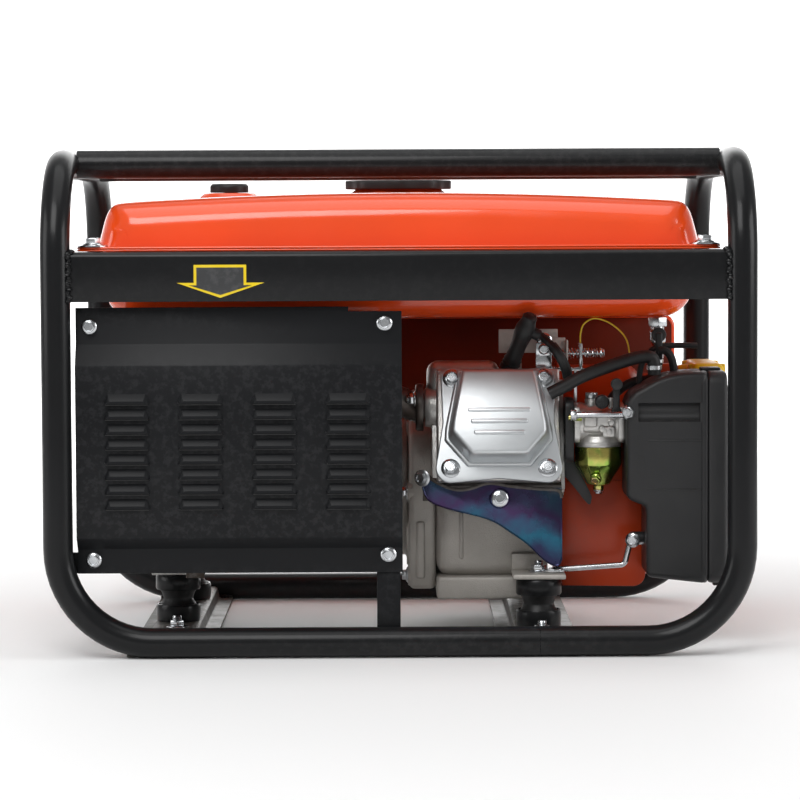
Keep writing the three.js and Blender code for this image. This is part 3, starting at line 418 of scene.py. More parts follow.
def make_surface_group():
    """Colour drift, worn edges, settled dust, smudged roughness and grain, shared by every finish."""
    tree, given, result = group_tree(
        "Workshop surface",
        [("Colour", "c", (0.5, 0.5, 0.5, 1)), ("Drift colour", "c", (0.5, 0.5, 0.5, 1)),
         ("Drift scale", "f", 14.0),
         ("Edge colour", "c", (0.6, 0.6, 0.6, 1)), ("Edge wear", "f", 0.3), ("Dust", "f", 0.1),
         ("Roughness low", "f", 0.3), ("Roughness high", "f", 0.5), ("Grain scale", "f", 900.0)],
        [("Colour", "c"), ("Roughness", "f"), ("Grain", "f")])
    place = node(tree, "TexCoord").outputs["Object"]
    link, inp = tree.links.new, given.outputs
    drift = ramp_mask(tree, noise(tree, place, inp["Drift scale"], 4), 0.32, 0.7)
    smudge = ramp_mask(tree, noise(tree, place, 31.0, 6, 0.62), 0.35, 0.7)
    grain = noise(tree, place, inp["Grain scale"], 3, 0.6)
    form = node(tree, "NewGeometry")
    edge = ramp_mask(tree, form.outputs["Pointiness"], 0.53, 0.62)
    chips = ramp_mask(tree, noise(tree, place, 150.0, 5, 0.7), 0.46, 0.62)
    edge = calc(tree, "MULTIPLY", calc(tree, "MULTIPLY", edge, chips), inp["Edge wear"], clamp=True)
    normal = node(tree, "SeparateXYZ")
    link(form.outputs["Normal"], normal.inputs[0])
    settled = ramp_mask(tree, normal.outputs["Z"], 0.5, 1.0)
    specks = ramp_mask(tree, noise(tree, place, 260.0, 5, 0.7), 0.42, 0.75)
    dust = calc(tree, "MULTIPLY", calc(tree, "MULTIPLY", settled, specks), inp["Dust"], clamp=True)
    colour = blend_colour(tree, drift, inp["Colour"], inp["Drift colour"])
    colour = blend_colour(tree, edge, colour, inp["Edge colour"])
    colour = blend_colour(tree, dust, colour, (0.36, 0.33, 0.29, 1))
    spread = node(tree, "Mix")
    link(smudge, spread.inputs[0])
    link(inp["Roughness low"], spread.inputs[2])
    link(inp["Roughness high"], spread.inputs[3])
    link(colour, result.inputs["Colour"])
    link(calc(tree, "ADD", spread.outputs[0], calc(tree, "MULTIPLY", dust, 0.35), clamp=True),
         result.inputs["Roughness"])
    link(grain, result.inputs["Grain"])
    return tree


def make_brushed_group():
    """Fine scratches drawn out along one direction, for zinc plate and rolled sheet."""
    tree, given, result = group_tree(
        "Drawn scratches", [("Stretch", "v", (1, 1, 1)), ("Scale", "f", 400.0)], [("Height", "f")])
    place = node(tree, "TexCoord").outputs["Object"]
    spread = node(tree, "VectorMath", operation="MULTIPLY")
    tree.links.new(place, spread.inputs[0])
    tree.links.new(given.outputs["Stretch"], spread.inputs[1])
    tree.links.new(noise(tree, spread.outputs[0], given.outputs["Scale"], 4, 0.65), result.inputs["Height"])
    return tree


def make_cast_group():
    """Sand texture of a casting: pits and soft lumps."""
    tree, given, result = group_tree("Sand cast skin", [("Scale", "f", 700.0)],
                                     [("Height", "f"), ("Pits", "f")])
    place = node(tree, "TexCoord").outputs["Object"]
    cells = node(tree, "TexVoronoi", feature="F1", in_Randomness=1.0)
    tree.links.new(place, cells.inputs["Vector"])
    tree.links.new(given.outputs["Scale"], cells.inputs["Scale"])
    lumps = noise(tree, place, 190.0, 5, 0.6)
    pits = ramp_mask(tree, cells.outputs["Distance"], 0.05, 0.55)
    tree.links.new(calc(tree, "ADD", calc(tree, "MULTIPLY", pits, 0.6), lumps), result.inputs["Height"])
    tree.links.new(pits, result.inputs["Pits"])
    return tree


GROUPS = {}
FINISHES = {}


def shared_group(name, maker):
    if name not in GROUPS:
        GROUPS[name] = maker()
    return GROUPS[name]


def rgba(colour):
    return (*colour, 1.0)


def finish_of(name, colour, drift, rough, metallic=0.0, drift_scale=14.0, edge=(0.5, 0.5, 0.5), wear=0.2,
              dust=0.1,
              grain_scale=900.0, bump=0.05, bump_depth=0.0003, coat=0.0, coat_rough=0.1, skin=None,
              stretch=(1, 1, 1),
              specular=0.5, tint=None):
    """A painted, plated, cast or moulded finish, built from the shared groups."""
    material = bpy.data.materials.new(name)
    material.use_nodes = True
    tree = material.node_tree
    shader = tree.nodes["Principled BSDF"]
    shader.inputs["Metallic"].default_value = metallic
    shader.inputs["Coat Weight"].default_value = coat
    shader.inputs["Coat Roughness"].default_value = coat_rough
    shader.inputs["Specular IOR Level"].default_value = specular
    surface = node(tree, "Group", node_tree=shared_group("surface", make_surface_group))
    values = {"Colour": rgba(colour), "Drift colour": rgba(drift), "Drift scale": drift_scale,
              "Edge colour": rgba(edge), "Edge wear": wear, "Dust": dust, "Roughness low": rough[0],
              "Roughness high": rough[1], "Grain scale": grain_scale}
    for key, value in values.items():
        surface.inputs[key].default_value = value
    height = surface.outputs["Grain"]
    if skin == "brushed":
        lines = node(tree, "Group", node_tree=shared_group("brushed", make_brushed_group))
        lines.inputs["Stretch"].default_value = stretch
        height = lines.outputs["Height"]
    if skin == "cast":
        sand = node(tree, "Group", node_tree=shared_group("cast", make_cast_group))
        sand.inputs["Scale"].default_value = grain_scale
        height = sand.outputs["Height"]
    base = surface.outputs["Colour"]
    if tint:
        base = tint(tree, base)
    relief = node(tree, "Bump", in_Strength=bump, in_Distance=bump_depth)
    tree.links.new(height, relief.inputs["Height"])
    tree.links.new(base, shader.inputs["Base Color"])
    tree.links.new(surface.outputs["Roughness"], shader.inputs["Roughness"])
    tree.links.new(relief.outputs["Normal"], shader.inputs["Normal"])
    return material


def heat_bands(tree, base):
    """Oxide colours that heat draws over bare steel: straw, purple and blue in drifting bands."""
    place = node(tree, "TexCoord").outputs["Object"]
    split = node(tree, "SeparateXYZ")
    tree.links.new(place, split.inputs[0])
    drift = noise(tree, place, 24.0, 4, 0.6)
    height = calc(tree, "MULTIPLY", calc(tree, "SUBTRACT", split.outputs["Z"], 0.07), 11.0)
    across = calc(tree, "MULTIPLY", calc(tree, "SUBTRACT", split.outputs["X"], 0.02), 2.2)
    band = calc(tree, "ADD", calc(tree, "ADD", height, across), calc(tree, "MULTIPLY", drift, 0.9))
    ramp = node(tree, "ValToRGB")
    stops = [(0.0, (0.02, 0.13, 0.2)), (0.2, (0.04, 0.02, 0.065)), (0.34, (0.025, 0.03, 0.085)),
             (0.46, (0.02, 0.13, 0.21)), (0.58, (0.06, 0.03, 0.1)), (0.7, (0.03, 0.07, 0.12)),
             (0.8, (0.16, 0.17, 0.19)), (1.0, (0.1, 0.1, 0.11))]
    while len(ramp.color_ramp.elements) < len(stops):
        ramp.color_ramp.elements.new(0.5)
    for element, (at, colour) in zip(ramp.color_ramp.elements, stops):
        element.position, element.color = at, rgba(colour)
    tree.links.new(calc(tree, "MULTIPLY", band, 0.5), ramp.inputs[0])
    return blend_colour(tree, 0.9, base, ramp.outputs["Color"])


def plated_bands(tree, base):
    """Yellow chromate plate: green and gold with a pink cast in places."""
    place = node(tree, "TexCoord").outputs["Object"]
    mask = ramp_mask(tree, noise(tree, place, 70.0, 3, 0.5), 0.4, 0.62)
    cast = ramp_mask(tree, noise(tree, place, 43.0, 2, 0.4), 0.58, 0.72)
    colour = blend_colour(tree, mask, base, (0.33, 0.52, 0.1, 1))
    return blend_colour(tree, calc(tree, "MULTIPLY", cast, 0.5), colour, (0.7, 0.28, 0.3, 1))


def make_finishes():
    paint, tank = settings("generator_frame"), settings("generator_tank")
    engine = settings("generator_engine")
    black, shield, orange = tuple(paint.colour), tuple(paint.shield), tuple(tank.colour)
    # Half the tank orange: the tank's worn edge colour, and also the painted shade of the blower finish below
    wear_and_shade_orange = tuple(c * 0.5 for c in orange)
    FINISHES.update({
        "frame": finish_of("Black frame enamel", black, tuple(c * 1.2 for c in black), (0.28, 0.31),
                           drift_scale=9,
                           edge=(0.05, 0.05, 0.05), wear=0.2, dust=0.004, grain_scale=700, bump=0.05,
                           bump_depth=0.0003, coat=0.1, coat_rough=0.1, specular=0.2),
        "shield": finish_of("Satin shield paint", shield, tuple(c * 1.1 for c in shield), (0.37, 0.395),
                            edge=(0.1, 0.1, 0.105), wear=0.3, dust=0.006, grain_scale=1500, bump=0.1,
                            bump_depth=0.0003, coat=0.02, coat_rough=0.25, specular=0.15),
        "orange": finish_of("Tank gloss enamel", orange, tuple(c * 0.9 for c in orange), (0.16, 0.25),
                            drift_scale=6,
                            edge=wear_and_shade_orange, wear=0.3, dust=0.05, grain_scale=260, bump=0.06, bump_depth=0.0007,
                            coat=0.55, coat_rough=0.06),
        # Blower housing and starter cover: the tank orange halved, darkened to stand for the shadow they sit
        # in (painted shade)
        "blower": finish_of("Blower enamel darkened as painted shade", wear_and_shade_orange, tuple(c * 0.8 for c in wear_and_shade_orange), (0.28, 0.36),
                            drift_scale=9, edge=(0.3, 0.05, 0.02), wear=0.25, dust=0.01, grain_scale=340,
                            bump=0.08,
                            coat=0.2, coat_rough=0.2, specular=0.3),
        # Near-black orange for the panel's engine-side wall: painted shade standing for the shadow under the
        # tank
        "painted_shade_liner": finish_of("Painted shade inner enamel", tuple(c * 0.16 for c in orange),
                           tuple(c * 0.12 for c in orange),
                           (0.4, 0.5), wear=0.1, dust=0.01, grain_scale=340, bump=0.08, specular=0.2),
        "cast": finish_of("Machined cast aluminium", (0.62, 0.61, 0.59), (0.5, 0.49, 0.47), (0.34, 0.5), 0.95,
                          drift_scale=20, edge=(0.85, 0.85, 0.84), wear=0.6, dust=0.06, grain_scale=620,
                          bump=0.35,
                          bump_depth=0.0005, skin="cast"),
        "cover": finish_of("Pressed bright steel", (0.66, 0.685, 0.7), (0.6, 0.625, 0.64), (0.4, 0.47), 0.95,
                           drift_scale=26, edge=(0.95, 0.95, 0.95), wear=0.3, dust=0.04, bump=0.14,
                           bump_depth=0.0003, skin="brushed", stretch=(0.12, 1, 1)),
        "sand": finish_of("Sand cast aluminium", (0.56, 0.53, 0.49), (0.46, 0.435, 0.4), (0.48, 0.6), 0.55,
                          drift_scale=16, edge=(0.62, 0.6, 0.56), wear=0.6, dust=0.12, grain_scale=900,
                          bump=0.55,
                          bump_depth=0.0006, skin="cast"),
        "zinc": finish_of("Bright zinc plate", (0.68, 0.7, 0.72), (0.52, 0.54, 0.56), (0.16, 0.34), 1.0,
                          drift_scale=60, edge=(0.9, 0.9, 0.9), wear=0.5, dust=0.04, bump=0.12,
                          skin="brushed",
                          stretch=(1, 1, 0.15)),
        "plate": finish_of("Yellow chromate plate", (0.68, 0.58, 0.16), (0.5, 0.55, 0.16), (0.14, 0.3), 1.0,
                           drift_scale=40, edge=(0.9, 0.86, 0.6), wear=0.4, dust=0.03, bump=0.08,
                           tint=plated_bands),
        "plastic": finish_of("Moulded black plastic", (0.0135, 0.0138, 0.0145), (0.021, 0.021, 0.022),
                             (0.38, 0.52),
                             edge=(0.06, 0.06, 0.06), wear=0.25, dust=0.1, grain_scale=2200, bump=0.2,
                             bump_depth=0.0003, specular=0.42),
        "rubber": finish_of("Black rubber", (0.0085, 0.0085, 0.009), (0.016, 0.016, 0.016), (0.42, 0.62),
                            edge=(0.05, 0.05, 0.05), wear=0.2, dust=0.14, grain_scale=1300, bump=0.2,
                            bump_depth=0.0003, specular=0.4),
        "heat": finish_of("Heat-tinted sheet", (0.09, 0.09, 0.1), (0.06, 0.06, 0.07), (0.16, 0.32), 0.9,
                          drift_scale=26, edge=(0.5, 0.52, 0.55), wear=0.25, dust=0.05, bump=0.1,
                          skin="brushed",
                          stretch=(0.2, 1, 1), tint=heat_bands),
        "steel": finish_of("Bare exhaust steel", (0.13, 0.12, 0.115), (0.07, 0.055, 0.045), (0.36, 0.58),
                           0.85,
                           drift_scale=22, edge=(0.4, 0.4, 0.4), wear=0.4, dust=0.15, grain_scale=700,
                           bump=0.3,
                           skin="brushed", stretch=(0.25, 1, 1)),
        "channel": finish_of("Weathered channel paint", (0.075, 0.07, 0.064), (0.12, 0.112, 0.1), (0.4, 0.6),
                             0.25, drift_scale=34, edge=(0.35, 0.33, 0.3), wear=0.7, dust=0.3,
                             grain_scale=800,
                             bump=0.3),
        "copper": finish_of("Varnished winding", (0.42, 0.16, 0.06), (0.27, 0.09, 0.035), (0.3, 0.45), 0.7,
                            edge=(0.6, 0.3, 0.16), wear=0.3, bump=0.7, bump_depth=0.001, skin="brushed",
                            stretch=(0.05, 1, 1)),
        "yellow": finish_of("Yellow grip plastic", tuple(engine.grip), tuple(c * 0.82 for c in engine.grip),
                            (0.32, 0.46), edge=(0.95, 0.75, 0.3), wear=0.3, dust=0.08, grain_scale=1600,
                            bump=0.2),
        "foam": finish_of("Dark foam", (0.03, 0.03, 0.031), (0.05, 0.05, 0.052), (0.8, 0.95), dust=0.3,
                          grain_scale=1800, bump=0.9, bump_depth=0.001, skin="cast"),
        "red": finish_of("Red knob plastic", (0.5, 0.018, 0.012), (0.38, 0.012, 0.008), (0.28, 0.42),
                         edge=(0.7, 0.2, 0.15), wear=0.3, grain_scale=1600, bump=0.15),
        "ink": finish_of("Decal ink", (0.03, 0.031, 0.033), (0.045, 0.046, 0.048), (0.3, 0.4), wear=0.05,
                         grain_scale=1500, bump=0.06),
        "sticker": finish_of("Decal yellow", (0.9, 0.66, 0.01), (0.8, 0.57, 0.01), (0.3, 0.42), wear=0.05,
                             edge=(0.9, 0.8, 0.4), grain_scale=1500, bump=0.06),
        "dial": finish_of("Dial white", (0.7, 0.7, 0.68), (0.62, 0.62, 0.6), (0.4, 0.5), wear=0.0, bump=0.05),
    })
    glass = bpy.data.materials.new("Gauge lens")
    glass.use_nodes = True
    tree = glass.node_tree
    shader = tree.nodes["Principled BSDF"]
    shader.inputs["Transmission Weight"].default_value = 1.0
    shader.inputs["IOR"].default_value = 1.49
    haze = ramp_mask(tree, noise(tree, node(tree, "TexCoord").outputs["Object"], 420.0, 5), 0.3, 0.9)
    tree.links.new(calc(tree, "MULTIPLY", haze, 0.12), shader.inputs["Roughness"])
    FINISHES["glass"] = glass


def finished(piece, finish, body="frame", nodes=(), angle=32):
    """Smooths a piece, gives it its finish, hides the nodes that it stands for, and hands it to a body."""
    smooth(piece, angle)
    piece.data.materials.clear()
    piece.data.materials.append(FINISHES[finish])
    if nodes:
        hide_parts(*nodes)
    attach(piece, body)
    return piece


def refinish(finish, *nodes):
    for name in nodes:
        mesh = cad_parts[name].data
        mesh.materials.clear()
        mesh.materials.append(FINISHES[finish])


# ---------------------------------------------------------------- fasteners
def hex_bolt(name, size=6.6, height=5.5, flange=8.4, shank=0.0):
    """A flanged hex head standing on Z, with a dished top and a thread end if it has a shank."""
    head = rod(name, size, (0, 0, 1.2), (0, 0, height), sides=6, rounding=0.7)
    skirt = turned(name + "_skirt", "z", [(0, 0), (flange, 0), (flange, 0.9), (size * 0.95, 2.0), (0, 2.0)],
                   (0, 0), 28, rounding=0.25)
    parts = [head, skirt]
    if shank:
        coils = [(0, height - 0.5)]
        for i in range(int(shank / 1.25)):
            coils += [(3.5, height - 0.5 + i * 1.25), (4.0, height + i * 1.25)]
        coils += [(3.3, height + shank), (0, height + shank)]
        parts.append(turned(name + "_thread", "z", coils, (0, 0), 20))
    else:
        dish = rod(name + "_dish", size * 0.6, (0, 0, height - 0.9), (0, 0, height + 1), sides=20,
                   end_radius=size * 0.7)
        carve(head, dish)
    return joined(name, *parts)


def placed_bolts(name, places, body="frame", finish="zinc", **sizes):
    """Copies of one bolt at several places, each given as a point and the way that its head faces."""
    pattern = hex_bolt(name + "_pattern", **sizes)
    bolts = []
    for i, (point, way) in enumerate(places):
        twist = facing(way).to_matrix().to_4x4() @ Matrix.Rotation(0.4 + 0.7 * i, 4, "Z")
        bolt = copy_of(pattern, f"{name}_{i}")
        bolt.data.transform(Matrix.Translation(Vector(point) * MM) @ twist)
        bolts.append(bolt)
    bpy.data.objects.remove(pattern)
    return finished(joined(name, *bolts), finish, body, angle=28)


# ---------------------------------------------------------------- pieces
def hoop(side):
    x, seam = side * TUBE_X, 118 + side * 0.15
    corners = [(seam, -TUBE_Y, TUBE), (x, -TUBE_Y, TUBE), (x, -TUBE_Y, TUBE_TOP), (x, TUBE_Y, TUBE_TOP),
               (x, TUBE_Y, TUBE), (seam, TUBE_Y, TUBE)]
    return tube("hoop_tube", bent_line(corners, 80, 14), TUBE, 36)


def weld(name, points, radius):
    """A run of overlapping drops of weld metal along a line."""
    drops = []
    for i, point in enumerate(points):
        deselect()
        bpy.ops.mesh.primitive_uv_sphere_add(segments=10, ring_count=6, radius=radius * MM,
                                             location=[c * MM for c in point])
        drop = bpy.context.object
        drop.scale = (1 + 0.2 * math.sin(i * 2.1), 1 + 0.15 * math.cos(i * 1.7),
                      0.8 + 0.2 * math.sin(i * 1.3))
        drops.append(settle(drop, f"{name}_{i}"))
    return joined(name, *drops)


def weld_line(a, b, count):
    return [Vector(a).lerp(Vector(b), i / (count - 1)) for i in range(count)]


def weld_ring(centre, radius, axis, start, end, count):
    return [on_axis(axis, centre[0] + radius * math.cos(t), centre[1] + radius * math.sin(t), centre[2])
            for t in (math.radians(start + (end - start) * i / (count - 1)) for i in range(count))]


def around_crank(radius, angle):
    """The (y, z) of a place at an angle round the crank's line"""
    return CRANK[0] + radius * math.cos(angle), CRANK[1] + radius * math.sin(angle)


def turn_about(obj, centre, angle, axis):
    """Turn a mesh made at the origin by an angle, then put it at a centre in mm"""
    obj.data.transform(Matrix.Translation(Vector(centre) * MM) @ Matrix.Rotation(angle, 4, axis))


class GENERATOR_OT_frame(bpy.types.Operator):
    """Build the two bent tube hoops, the top rails and their welds"""
    bl_idname = "generator.frame"
    bl_label = "Tube frame"

    def execute(self, context):
        tab = block("shield_tab", -TUBE_X + 9, lows("muffler_shield")[0] + 24, -194.2, -191.2, 71, 89, 0.8)
        finished(joined("frame_left", hoop(-1), tab), "frame", nodes=["frame_hoop_left"])
        finished(hoop(1), "frame", nodes=["frame_hoop_right_front",
                                          "frame_hoop_right_rear"]).name = "frame_right"
        for label, y in (("front", -105), ("rear", 105)):
            rail = tube("rail", [(-TUBE_X + 10, y, TUBE_TOP), (TUBE_X - 10, y, TUBE_TOP)], TUBE - 0.2, 36)
            finished(rail, "frame", nodes=["top_rail_" + label]).name = "top_rail_piece_" + label
        rings = []
        for sx in (-1, 1):
            for y in (-105, 105):
                rings.append(weld("w", weld_ring((y, TUBE_TOP, sx * (TUBE_X - 11.4)), TUBE - 1.9, "x", 0,
                                                 345, 26), 1.7))
        finished(joined("top_rail_welds", *rings), "frame")
        seams = [weld("w", weld_ring((y, TUBE, 118), TUBE - 1.5, "x", 0, 345, 24), 1.2)
                 for y in (-TUBE_Y, TUBE_Y)]
        finished(joined("bottom_rail_butt_welds", *seams), "frame")
        return {"FINISHED"}


class GENERATOR_OT_tank_rails(bpy.types.Operator):
    """Build the pressed angles that carry the tank, with their welds and the arrow decal"""
    bl_idname = "generator.tank_rails"
    bl_label = "Tank rails"

    def execute(self, context):
        bead = settings("generator_frame").weld_bead / MM
        high = highs("tank_rail_front")[2]
        low = lows("tank_rail_front")[2]
        for label, side in (("front", -1), ("rear", 1)):
            face, inner, ledge = 211, 208, 181
            section = [(face, low), (face, high - 5)] + arc(face - 5, high - 5, 5, 0, 90, 6)[1:]
            section += [(ledge, high), (ledge, high - 3), (inner - 3, high - 3)]
            section += arc(inner - 3, high - 6, 3, 90, 0, 4)[1:] + [(inner, low)]
            rail = extruded("rail", "x", [(side * y, z) for y, z in section], -278.6, 278.6, 0.5)
            posts = [rod("post", TUBE + 0.4, (sx * TUBE_X, side * TUBE_Y, low - 20),
                         (sx * TUBE_X, side * TUBE_Y, high + 20), 32) for sx in (-1, 1)]
            finished(carve(rail, *posts), "frame",
                     nodes=["tank_rail_" + label]).name = "tank_rail_piece_" + label
        welds = []
        for sx in (-1, 1):
            for side in (-1, 1):
                x, y = sx * 278.2, side * 211.2
                welds.append(weld("w", [p + Vector((0.9 * math.sin(i * 1.9), 0, 0)) for i, p in enumerate(
                    weld_line((x, y, low + 1), (x, y, high - 2), 17))], bead))
                welds.append(weld("w", weld_line((sx * 276, side * 209, high), (sx * 277, side * 190, high),
                                                 9), bead))
        finished(joined("tank_rail_welds", *welds), "frame")
        arrow = [(-187, 317.9), (-150.3, 305.2), (-113.2, 317.9), (-128.4, 317.9), (-128.4, 333),
                 (-172.6, 333), (-172.6, 317.9)]
        inside = [(-176.6, 315.8), (-150.3, 307.6), (-123.8, 315.8), (-130.7, 315.8), (-130.7, 330.7),
                  (-170.3, 330.7), (-170.3, 315.8)]
        finished(extruded("arrow_border", "y", arrow, -211.25, -210.9), "sticker")
        finished(extruded("arrow_field", "y", inside, -211.4, -211.0), "ink")
        return {"FINISHED"}


class GENERATOR_OT_channels(bpy.types.Operator):
    """Build the two pressed cross channels and the strap that stays the shield"""
    bl_idname = "generator.channels"
    bl_label = "Cross channels"

    def execute(self, context):
        for label, x in (("left", -198), ("right", 121)):
            half = [(35, 0), (35, 2.5), (24.5, 2.5), (22.2, 3.6), (20.4, 12.4), (17.6, 14), (0, 14)]
            under = [(0, 11.5), (15.4, 11.5), (17.4, 10.2), (19.4, 1.6), (20.8, 0)]
            ring = half + [(-u, v) for u, v in half[-2::-1]] + [(-u, v) for u,
                                                                v in reversed(under)] + under[1:]
            bar = extruded("bar", "y", [(x + u, v) for u, v in ring], -TUBE_Y + 2, TUBE_Y - 2, 0.5)
            tubes = [rod("t", TUBE + 0.3, (x - 60, s * TUBE_Y, TUBE), (x + 60, s * TUBE_Y, TUBE), 32)
                     for s in (-1, 1)]
            finished(carve(bar, *tubes), "channel",
                     nodes=["cross_channel_" + label]).name = "channel_" + label
        beads = [weld("w", weld_line((x - 33, s * (TUBE_Y - 11.8), 4), (x + 33, s * (TUBE_Y - 11.8), 4),
                                     24), 2.1)
                 for x in (-198, 121) for s in (-1, 1)]
        finished(joined("channel_welds", *beads), "frame")
        strap = block("strap", -20, 0, -194.2, -191.2, 12, 96, 0.9)
        rail = rod("t", TUBE + 0.3, (-40, -TUBE_Y, TUBE), (30, -TUBE_Y, TUBE), 32)
        finished(carve(strap, rail), "shield").name = "shield_stay"
        return {"FINISHED"}


class GENERATOR_OT_mounts(bpy.types.Operator):
    """Build the four rubber mounts with their cups, studs and nuts"""
    bl_idname = "generator.mounts"
    bl_label = "Rubber mounts"

    def execute(self, context):
        for name in ("left_front", "left_rear", "right_front", "right_rear"):
            low, high = lows("rubber_mount_" + name), highs("rubber_mount_" + name)
            x, y, foot = (low[0] + high[0]) / 2, (low[1] + high[1]) / 2, low[2]
            cup = [(0, foot), (19, foot), (19.4, foot + 2), (19.8, foot + 13), (19, foot + 15),
                   (17.6, foot + 15),
                   (16.8, foot + 2.4), (0, foot + 2.4)]
            top = [(0, 56.4), (18.6, 56.4), (19.8, 54.4), (20, 44), (19.2, 42.4), (17.8, 42.4), (17.6, 53.6),
                   (0, 54)]
            waist = [(0, foot + 2.5), (16.6, foot + 2.5), (17.4, foot + 13), (14.4, foot + 17),
                     (13.2, foot + 20),
                     (14.6, foot + 25), (17.4, foot + 29), (17.5, 53.6), (0, 53.6)]
            cups = joined("cups", turned("c", "z", cup, (x, y), 40), turned("c", "z", top, (x, y), 40))
            finished(cups, "frame").name = "mount_cups_" + name
            core = turned("r", "z", waist, (x, y), 40, 0.6)
            finished(core, "rubber", nodes=["rubber_mount_" + name]).name = "mount_rubber_" + name
            placed_bolts("mount_nut_" + name, [((x, y, 62), (0, 0, 1))], size=6.8, height=6, flange=9,
                         shank=4)
        nuts = [((x, y, 14), (0, 0, 1)) for x, y in ((122, -160), (-196, -112), (-196, 140), (122, 166))]
        placed_bolts("channel_nuts", nuts, size=6.6, height=6.4, flange=9.4, shank=4)
        return {"FINISHED"}


def crowned_shell(name, outline_at, start, end, thickness, size, steps=8):
    """A run along Y whose outline draws in towards rounded ends."""
    rings = []
    for i in range(steps + 1):
        t = math.radians(90 * i / steps)
        rings.append((start + thickness * (1 - math.sin(t)), size * (1 - math.cos(t))))
    rings = list(reversed(rings)) if rings[0][0] > rings[-1][0] else rings
    rings += [(start + end - y, inset) for y, inset in reversed(rings)]
    first = outline_at(rings[0][1])
    shell = outline_ring(name, [(u, rings[0][0], v) for u, v in first], "NGON")
    edit(shell)
    for y, inset in rings[1:]:
        bpy.ops.mesh.extrude_region_move(TRANSFORM_OT_translate={"value": (0, 0.001, 0)})
        bpy.ops.object.mode_set(mode="OBJECT")
        chosen = [v for v in shell.data.vertices if v.select]
        count = len(first)
        for vertex, (u, v) in zip(chosen, outline_at(inset)):
            vertex.co = Vector((u, y, v)) * MM
        assert len(chosen) == count, (len(chosen), count)
        bpy.ops.object.mode_set(mode="EDIT")
    close_edit()
    return shell


def spline_points(points, steps=6):
    """A smooth line through points."""
    out = []
    ends = [points[0], *points, points[-1]]
    for p0, p1, p2, p3 in zip(ends, ends[1:], ends[2:], ends[3:]):
        for k in range(steps):
            t = k / steps
            out.append(tuple(0.5 * (2 * b + (c - a) * t + (2 * a - 5 * b + 4 * c - d) * t * t
                                    + (3 * b - a - 3 * c + d) * t ** 3) for a, b, c,
                             d in zip(p0, p1, p2, p3)))
    return [*out, tuple(points[-1])]


class GENERATOR_OT_tank(bpy.types.Operator):
    """Build the pressed fuel tank with its flange, neck and bolts"""
    bl_idname = "generator.tank"
    bl_label = "Fuel tank"

    def execute(self, context):
        flange_x, flange_y = highs("tank_lower_shell")[0], highs("tank_lower_shell")[1]
        half, crown = flange_x - 16, SEAM + 49
        edge = crown - 7.5

        def upper(inset):
            end = half - inset
            rise = edge - inset
            side = [(end + 3, SEAM + 1.5), (end, SEAM + 8), (end - 2.5, SEAM + 18), (end - 6.5, rise - 10),
                    (end - 12, rise - 2.6), (end - 22, rise + 0.4)]
            top = [((end - 22) * s, rise + 0.4 + 7.1 * (1 - s * s)) for s in (0.8, 0.6, 0.4, 0.2, 0)]
            right = [side[0], *spline_points(side[1:] + top, 3)]
            return right + [(-u, v) for u, v in reversed(right[:-1])]

        shell = crowned_shell("shell", upper, -180, 180, 34, 22, 9)
        rim = extruded("rim", "z", rounded(-flange_x, flange_x, -flange_y, flange_y, 14, 8), SEAM + 2.0,
                       SEAM + 3.9,
                       0.8, 3)
        neck = turned("neck", "z", [(36, crown - 6), (52, crown - 6), (50, crown - 1.5), (42, crown + 1.5),
                                    (37.5, crown + 5), (36.5, crown + 8), (34.5, crown + 8), (34, crown - 6)],
                      (0, 0), 64)
        boss = turned("boss", "z", [(12, crown - 9), (29, crown - 9), (26.5, crown - 2), (22.5, crown + 1.4),
                                    (12, crown + 1.4)], (-153, 0), 48, 0.8)
        for hole, x, r in (("h", 0, 34), ("g", -153, 12)):
            carve(shell, rod(hole, r, (x, 0, crown - 30), (x, 0, crown + 20), 48))
        finished(joined("tank_upper", shell, rim, neck, boss), "orange", nodes=["tank_upper_shell"], angle=40)

        low = lows("tank_lower_shell")[2]

        def lower(inset):
            end, floor, r = half + 2 - inset, low + inset, 28
            right = [(end + 1.5, SEAM + 1), (end + 1, SEAM - 8), (end, SEAM - 20),
                     *arc(end - r, floor + r, r, 0, -90, 8)]
            return right + [(-u, v) for u, v in reversed(right)]

        pan = crowned_shell("pan", lower, -108, 168, 28, 20, 8)
        seam_rim = extruded("rim", "z", rounded(-flange_x, flange_x, -flange_y, flange_y, 14, 8), SEAM + 0.1,
                            SEAM + 1.8, 0.7, 3)
        finished(joined("tank_lower", pan, seam_rim), "orange", nodes=["tank_lower_shell"], angle=40)
        places = [(sx * (flange_x - 14), sy * (flange_y - 10)) for sx in (-1, 1) for sy in (-1, 1)]
        placed_bolts("tank_bolts", [((x, y, SEAM + 5.6), (0, 0, 1)) for x, y in places], height=6)
        wide = settings("generator_tank").washer / MM / 2
        washers = [turned("w", "z", [(5, SEAM + 4), (wide, SEAM + 4), (wide, SEAM + 5),
                                     (wide - 1.5, SEAM + 5.6),
                                     (5, SEAM + 5.6)], place, 32) for place in places]
        finished(joined("tank_washers", *washers), "zinc")
        return {"FINISHED"}


